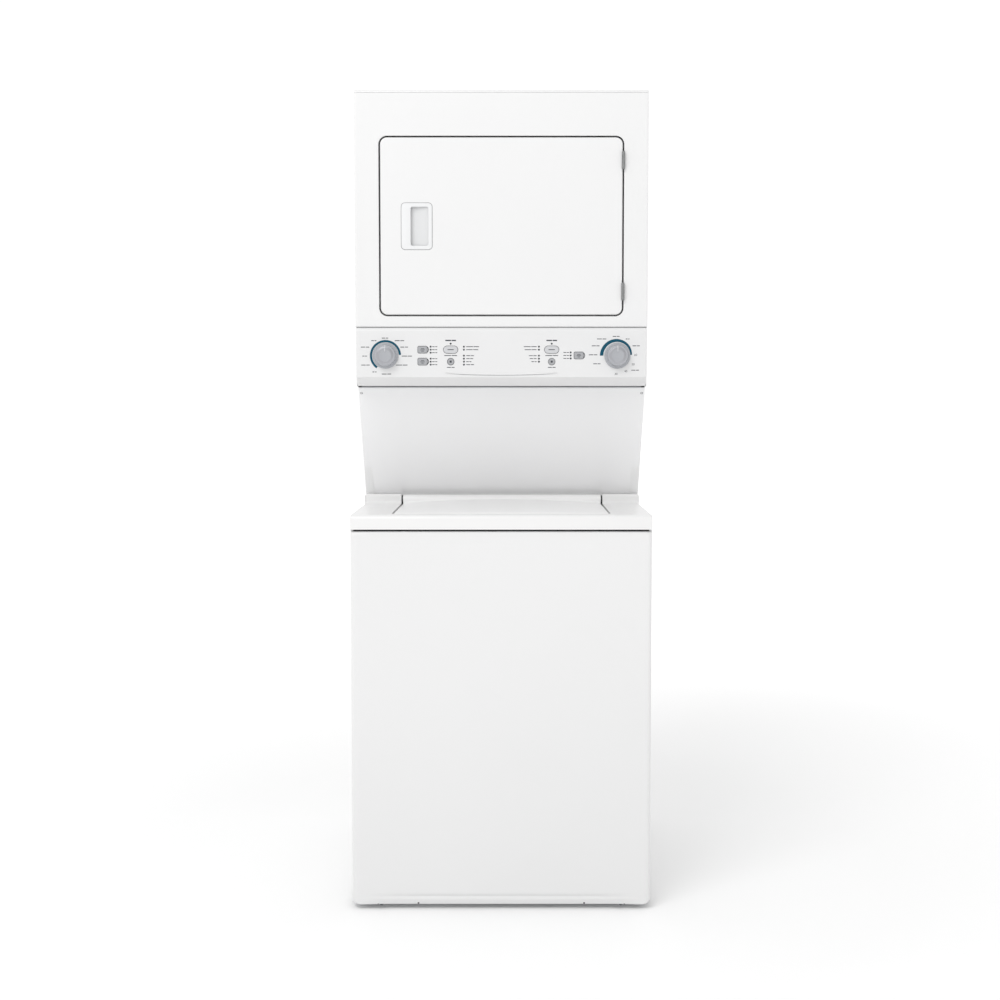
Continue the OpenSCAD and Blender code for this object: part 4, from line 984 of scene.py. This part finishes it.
for build in (washer_front, deck, lid, lid_liner, access_panel, dryer_front, dryer_cap, door, handle,
              console, console_trim):
    build()
for name, kind in BUTTONS.items():
    button(name, kind)
knob("washer_knob")
knob("dryer_knob")
dial_arc("washer_knob", "washer_dial_arc", 234, (5.2, 5.2), (36.6, 36.6))
dial_arc("dryer_knob", "dryer_dial_arc", 180, (8, 4), (40.9, 34.3), 1.8)
print_on_console()
dial_numbers()
lamps()


# ---------- inside the washer ----------

def perforated_wall(radius, wall, z0, z1, columns, rows, hole):
    """A cylinder of sheet with staggered round holes, every tile real geometry."""
    mesh = bmesh.new()
    grid = {}
    around = ((1, 0), (2, 0), (2, 1), (2, 2), (1, 2), (0, 2), (0, 1), (0, 0))

    def vert(i, j, layer, du=0.0, dz=0.0):
        a, r = math.pi * i / columns + du / radius, radius - layer * wall
        z = z0 + (z1 - z0) * j / (2 * rows) + dz
        return mesh.verts.new((TUB.x + r * math.cos(a), TUB.y + r * math.sin(a), z))

    def corner(i, j, layer):
        key = (i % (2 * columns), j, layer)
        if key not in grid:
            grid[key] = vert(*key)
        return grid[key]

    def strip(a, b):
        for k in range(8):
            n = (k + 1) % 8
            mesh.faces.new((a[k], a[n], b[n], b[k]))

    for row in range(rows):
        for column in range(columns):
            i, j = 2 * column + row % 2, 2 * row
            rims = []
            for layer in (0, 1):
                leans = [math.atan2(dj - 1, di - 1) for di, dj in around]
                rim = [vert(i + 1, j + 1, layer, hole * math.cos(a), hole * math.sin(a)) for a in leans]
                strip([corner(i + di, j + dj, layer) for di, dj in around], rim)
                rims.append(rim)
            strip(*rims)
    for j in (0, 2 * rows):
        for i in range(2 * columns):
            mesh.faces.new((corner(i, j, 0), corner(i + 1, j, 0), corner(i + 1, j, 1), corner(i, j, 1)))
    return mesh


def basket():
    """The stainless basket: a perforated wall, a dished floor and the drive hub below it."""
    wall, radius = 1.2, high("wash_basket").x - TUB.x
    base = low("balance_ring").z - 466
    floor_at, top = TUB + Vector((0, 0, base)), high("wash_basket").z - base
    mesh = perforated_wall(radius, wall, base + 22, base + top - 30, 54, 16, 3.2)
    for z0, z1 in ((8, 22), (top - 30, top)):
        lathe([(radius, z0), (radius, z1), (radius - wall, z1), (radius - wall, z0)], floor_at, n=108,
              wrap=True, mesh=mesh)
    floor = [(61, 0), (61, 4)]
    floor += [(61 + (radius - 75) * k / 40, 3.2 + 1.4 * math.sin(k * math.pi / 4)) for k in range(1, 40)]
    floor += [(radius - a, b) for a, b in ((8, 3), (3, 5), (wall, 8), (0, 8), (1, 4), (7, 0))]
    lathe(floor, floor_at, n=108, wrap=True, mesh=mesh)
    foot = low("wash_basket").z - base
    hub = [(11, -6), (11, 6), (62, 6), (63, 5), (63, -5), (62, -6), (22, -6), (20, -8), (20, foot),
           (11, foot)]
    lathe(hub, floor_at, wrap=True, mesh=mesh)
    piece("basket_shell", mesh, STAINLESS, "basket", ["wash_basket"])


def balance_ring():
    """The sealed ring at the basket's rim, with rounded edges and moulded grooves."""
    r1, z0, z1 = high("balance_ring").x, low("balance_ring").z, high("balance_ring").z
    r0 = r1 - 34
    profile = arc(r1 - 4, z0 + 4, 4, 270, 360, 4) + arc(r1 - 4, z1 - 4, 4, 0, 90, 6)
    profile += [(r1 - 12, z1), (r1 - 12.6, z1 - 1.4), (r1 - 14, z1 - 1.4), (r1 - 14.6, z1)]
    profile += arc(r0 + 9, z1 - 9, 9, 90, 180)
    profile += [(r0, z0 + 14), (r0 + 1, z0 + 13), (r0 + 1, z0 + 10), (r0, z0 + 9)]
    profile += arc(r0 + 3, z0 + 3, 3, 180, 270, 4)
    mesh = lathe(profile, TUB, n=128, wrap=True)
    piece("balance_ring_body", mesh, WHITE_PLASTIC, "basket", ["balance_ring"])


def agitator():
    """The agitator: a flared skirt and post with four tall vanes, ribbed between them."""
    base = low("balance_ring").z - 444
    foot, top = low("agitator").z - base, high("agitator").z - base
    reach = high("agitator").x - TUB.x

    def body(z):
        """Radius of the skirt and post at a height, a hollow curve."""
        t = max(0.0, z - 6)
        return min(reach, max(52 - t * 0.02, reach - 133 * (1 - math.exp(-t / 58))))

    def vane(z):
        if z < 86:
            return 178 - 66 * ease((z - 30) / 56)
        return 112 - 46 * (z - 86) / 174

    def ripple(a, r, z):
        if not 4 < z < 262 or r < 40:
            return 0.0
        fall = ease((262 - z) / 24)
        off = (math.degrees(a) + 45) % 90 - 45
        share = math.exp(-((math.radians(off) * r / 6.5) ** 2) / 1.4)
        rib = 1.3 * math.cos(math.radians(off) * 24) * ease(abs(off) / 14 - 0.7) * (z > 90)
        return (max(0.0, vane(z) - r) * share + rib) * fall

    steps = [5, 6, 8, 11, 15, 20, 26, 33, 41, 50, 60, 72, 86, 100, 116, 134, 154, 176, 198, 220, 238, 250,
             258, 264, 270, 300, 330, 360, 370]
    profile = [(reach - 2, 0), (reach, 2)] + [(body(z), z) for z in steps]
    profile += [(r, top + z) for r, z in ((50, -16), (52, -14.5), (52, -9), (50, -4), (45, -1.2), (38, 0),
                                          (20, 0), (18, -1.5), (10, -1.5))]
    profile += [(10, foot), (9, foot), (9, 0)]
    mesh = lathe(profile, TUB + Vector((0, 0, base)), n=240, ripple=ripple)
    piece("agitator_body", mesh, WHITE_PLASTIC, "agitator", ["agitator"], 45)


# ---------- inside the dryer ----------

def dryer_drum():
    """The drum: rolled beads round the wall, a perforated back and three lifters."""
    r, t = high("dryer_drum").x, SHEET
    y0, y1 = low("dryer_drum").y, high("rear_bulkhead").y - 12
    beads = [(r - t / 2 - 1.1 * (1 - math.cos(k * math.pi * 0.4)), y0 + 14 + (y1 - y0 - 28) * k / 40)
             for k in range(41)]
    profile = [(r, y0 + 5)] + [(a + t / 2, y) for a, y in beads] + [(r, y1 - 4), (r - 3, y1)]
    profile += [(a, y1 - b) for a, b in ((60, 0), (56, 2), (9, 2), (9, 4), (56, 4), (60, 2), (200, 2),
                                         (206, 5), (212, 5), (218, 2), (r - 6, 2))]
    profile += [(a - t / 2, y) for a, y in reversed(beads)]
    profile += [(a, y0 + b) for a, b in ((r - t * 2, 6), (r - 6, 2.4), (253, 2.4), (252, 1.2), (253, 0),
                                         (r - 5, 0), (r - 1.5, 1.5))]
    made = piece("drum_shell", lathe(profile, DRUM, "Y", 120, True), STAINLESS, "drum", ["dryer_drum"])
    holes = bmesh.new()
    for ring, count in ((90, 12), (118, 16), (146, 20), (174, 24)):
        for k in range(count):
            a = 2 * math.pi * k / count
            spot = (ring * math.cos(a), y1, DRUM.z + ring * math.sin(a))
            lathe([(4.5, -9), (4.5, 5)], spot, "Y", 10, mesh=holes)
    cut_away(made, holes)
    smooth(made, 35)
    shaft = [(1, y1 - 3), (7, y1 - 3), (8, y1 - 2), (8, y1 + 18), (7, y1 + 20)]
    piece("drum_shaft", lathe(shaft, DRUM, "Y", 32), STEEL, "drum")
    lifters = bmesh.new()
    ya, yb = y0 + 42, y1 - 32
    bow = ((1, 0), (0.82, 0.14), (0.45, 0.6), (0.3, 0.9), (0.12, 1))
    for turn in (90, 210, 330):
        c, s = math.cos(math.radians(turn)), math.sin(math.radians(turn))
        rings = []
        for k in range(15):
            t = k / 14
            near = min(t, 1 - t)
            end = math.sin(math.pi * near * 3) if near < 1 / 6 else 1.0
            tall, half = 48 * (0.25 + 0.75 * end), 22 * (0.55 + 0.45 * end)
            outline = [(u * half, r - 4.2 - v * tall) for u, v in bow]
            outline += [(-u, reach) for u, reach in reversed(outline)]
            rings.append([(reach * c - u * s, ya + (yb - ya) * t, DRUM.z + reach * s + u * c)
                          for u, reach in outline])
        loft(rings, mesh=lifters)
    piece("drum_lifters", lifters, WHITE_PLASTIC, "drum", crease=45)


def door_back():
    """The door's inner pan: stamped field, plug that enters the opening, and its striker."""
    y0, y1 = low("door_inner").y, WELL_FLOOR
    size = high("door_inner") - low("door_inner")
    rings = [facing(rounded(size.x - 2 * inset, size.z - 2 * inset, 12 - inset, 10), y0 + y, 0, DOOR.z)
             for inset, y in ((1.2, 0), (0, 0.8), (0, 2.2), (0.8, 3))]
    rings += [mouth_ring(-inset, y) for inset, y in (
        (6, y0 + 3), (8, y0 + 4.2), (8, y1 + 3), (8.8, y1 + 4.4), (11, y1 + 5), (30, y1 + 5), (34, y1 + 4.6),
        (40, y1 + 1.2), (44, y1 + 0.8), (90, y1 + 0.8))]
    mesh = loft(rings)
    x, z = middle("door_catch").x, DOOR.z
    block((x - 3, y1 + 0.5, z - 10), (x + 3, y1 + 16, z + 10), mesh)
    lathe([(2, 9), (4, 10.5), (4, 15), (2.5, 16.4)], (x, y1, z), "Y", 24, mesh=mesh)
    piece("door_pan", mesh, WHITE_PLASTIC, "door", ["door_inner"], 40)


def door_seal():
    """The felt-backed rubber seal that rings the opening."""
    y0, y1 = low("door_seal").y, high("door_seal").y
    rings = [mouth_ring(grow, y, 12) for grow, y in (
        (17, y0), (17, y0 + 1.2), (15.5, y0 + 2.2), (13.5, y1), (11.5, y1), (9.5, y0 + 2.2),
        (8, y0 + 1.2), (8, y0))]
    piece("door_seal_ring", loft(rings, True), RUBBER, "door", ["door_seal"], 50)


def lint_filter():
    """The filter's frame with rounded windows, its mesh, and a ribbed pull."""
    a, b = low("lint_filter"), high("lint_filter")
    x, w, h = (a.x + b.x) / 2, b.x - a.x, b.z - 10 - a.z
    mesh = slab(rounded(w, h, 5, 6), a.y, a.y + 8, x, a.z + h / 2)
    made = piece("lint_frame", mesh, WHITE_PLASTIC, "filter", ["lint_filter"], 40)
    windows = bmesh.new()
    for dx in (-70, 0, 70):
        slab(rounded(62, 96, 6, 6), a.y - 1, a.y + 9, x + dx, a.z + 56, windows)
    cut_away(made, windows)
    smooth(made, 40)
    soften(made, 0.5)
    wires, y = bmesh.new(), a.y + 3.7
    for k in range(73):
        u = x - w / 2 + 3 + k * (w - 6) / 72
        block((u - 0.2, y - 0.25, a.z + 7), (u + 0.2, y + 0.05, a.z + 105), wires)
    for k in range(34):
        z = a.z + 7.5 + k * 97 / 33
        block((x - w / 2 + 2, y - 0.05, z - 0.2), (x + w / 2 - 2, y + 0.25, z + 0.2), wires)
    piece("lint_mesh", wires, BLACK_PLASTIC, "filter", slot="white_plastic")
    grip = loft([facing(rounded(90, 10, 4, 6), a.y + y, x, b.z - 5) for y in (1, 5, 12)])
    for k in range(9):
        u = x - 38 + k * 9
        block((u, a.y + 0.2, b.z - 8), (u + 4, a.y + 1.5, b.z - 2), grip)
    piece("lint_grip", grip, WHITE_PLASTIC, "filter", bevel=0.4)


# ---------- feet, screws and back ----------

def feet():
    """Four levelling feet: ribbed rubber pad, hexagon and threaded stem."""
    a, b = low("leveling_feet"), high("leveling_feet")
    pads, stems = bmesh.new(), bmesh.new()
    pad = [(14, 0), (17, 0.4), (18, 1.6), (18, 4.6), (17, 6), (15.5, 6.2), (11, 8), (1, 8)]
    thread = [(4.9 if k % 2 else 4.2, min(8 + k * 0.75, 58)) for k in range(66)]

    def tread(a, r, z):
        return 0.35 * (math.cos(24 * a) - 1) * (r > 17.5)

    for x in (a.x + 18, b.x - 18):
        for y in (a.y + 18, b.y - 18):
            lathe(pad, (x, y, 0), n=96, ripple=tread, mesh=pads)
            lathe([(8, 8), (9, 8.8), (9, 13), (8, 13.9)], (x, y, 0), n=6, mesh=stems)
            lathe(thread, (x, y, 0), n=24, mesh=stems)
    piece("feet_pads", pads, BLACK_PLASTIC, replaces=["leveling_feet"], crease=40)
    piece("feet_stems", stems, STEEL, crease=40)


def screw(mesh, place, toward):
    """A hexagon washer-head screw with a recess, its axis along toward."""
    count = len(mesh.verts)
    lathe([(4.9, 0.1), (4.9, 0.5), (4.5, 0.9), (1, 1.0)], n=24, mesh=mesh)
    lathe([(3.8, 0.8), (3.8, 2.2), (3.3, 2.8), (2.4, 2.9), (1.4, 2.2), (0.4, 2.0)], n=6, mesh=mesh)
    lean = Vector((0, 0, 1)).rotation_difference(Vector(toward)).to_matrix().to_4x4()
    bmesh.ops.transform(mesh, matrix=Matrix.Translation(place) @ lean, verts=list(mesh.verts)[count:])


def screws():
    """The screws of the access panel, the toe and the rear panel."""
    mesh = bmesh.new()
    z = SLOPE_HEAD.y - 13
    y = SLOPE_FOOT.x + (z - SLOPE_FOOT.y) * SLOPE.x / SLOPE.y
    for s in (-1, 1):
        screw(mesh, (s * (X_OUT - 7), y, z), (0, -SLOPE.y, SLOPE.x))
        screw(mesh, (s * (X_OUT - 67), Y_FRONT + 9, PANEL_LOW), (0, 0, -1))
        for z_rear in (RISER_Z + 30, CONSOLE_Z + 40, TOP_Z - 40):
            screw(mesh, (s * (X_OUT - 12), Y_BACK, z_rear), (0, 1, 0))
    piece("sheet_screws", mesh, SCREW, replaces=["panel_screws"], crease=30)


def toe_clips():
    """Dark screws and clip ends along the washer's toe."""
    mesh = bmesh.new()
    for x, r in ((-284, 3.2), (284, 3.2), (-191, 2.2), (191, 2.2)):
        profile = [(0.4, 3.4), (r * 0.8, 3.4), (r, 4.2), (r, 12)]
        lathe(profile, (x, Y_FRONT, PANEL_LOW + 3.4), "Y", 20, mesh=mesh)
    piece("toe_clips", mesh, BLACK_PLASTIC, crease=40)


def back_details():
    """Pressed hoods over the dryer's rear louvres and beads that stiffen the sheet."""
    mesh = bmesh.new()
    for x in range(-150, 151, 50):
        for z in (TOP_Z - 120, TOP_Z - 180):
            rings = []
            for k in range(9):
                t = 5.5 * k - 22
                out = 5 * math.sqrt(max(0.02, 1 - (t / 22.5) ** 2))
                section = ((-6, -0.3), (-5, out * 0.7), (0, out), (4, out * 0.9), (4.6, -0.3))
                rings.append([(x + u, Y_BACK + v, z + t) for u, v in section])
            loft(rings, mesh=mesh)
    for z in (RISER_Z + 120, RISER_Z + 200, TOP_Z - 300, TOP_Z - 380):
        loft([facing(rounded(300 + 2 * grow, 12 + 2 * grow, 6 + grow), Y_BACK + out, -60, z)
              for grow, out in ((0, -0.3), (0, 0), (-2.5, 1.6), (-5, 2.2))], mesh=mesh)
    piece("rear_hoods_and_beads", mesh, ZINC, crease=40)


for build in (basket, balance_ring, agitator, dryer_drum, door_back, door_seal, lint_filter, feet, screws,
              toe_clips, back_details):
    build()


# ---------- the CAD nodes that stay, with their finishes ----------

KEPT = (
    (ENAMEL, ["washer_cabinet", "side_panel_left", "side_panel_right", "front_bulkhead"]),
    (ZINC, ["base_frame", "rear_panel", "dryer_base", "rear_bulkhead", "exhaust_duct", "heater_box",
            "idler_arm"]),
    (WHITE_PLASTIC, ["blower_housing", "water_valve"]),
    (TUB_PLASTIC, ["outer_tub"]),
    (BLACK_PLASTIC, ["lid_lock", "drain_pump", "idler_pulley"]),
    (STEEL, ["suspension_rods", "suspension_springs", "washer_motor", "dryer_motor", "motor_rotor",
             "door_catch"]),
    (CAST, ["gearcase", "drive_pulley", "motor_pulley"]),
    (RUBBER, ["drive_belt", "drum_belt", "drain_hose"]),
    (HINGE, ["hinge_door_leaves", "hinge_cabinet_leaves"]),
    (BOARD, ["control_board"]),
)
for (material, slot), nodes in KEPT:
    for node in nodes:
        shown = frame["nodes"][node]
        shown.data.materials.clear()
        shown.data.materials.append(material)
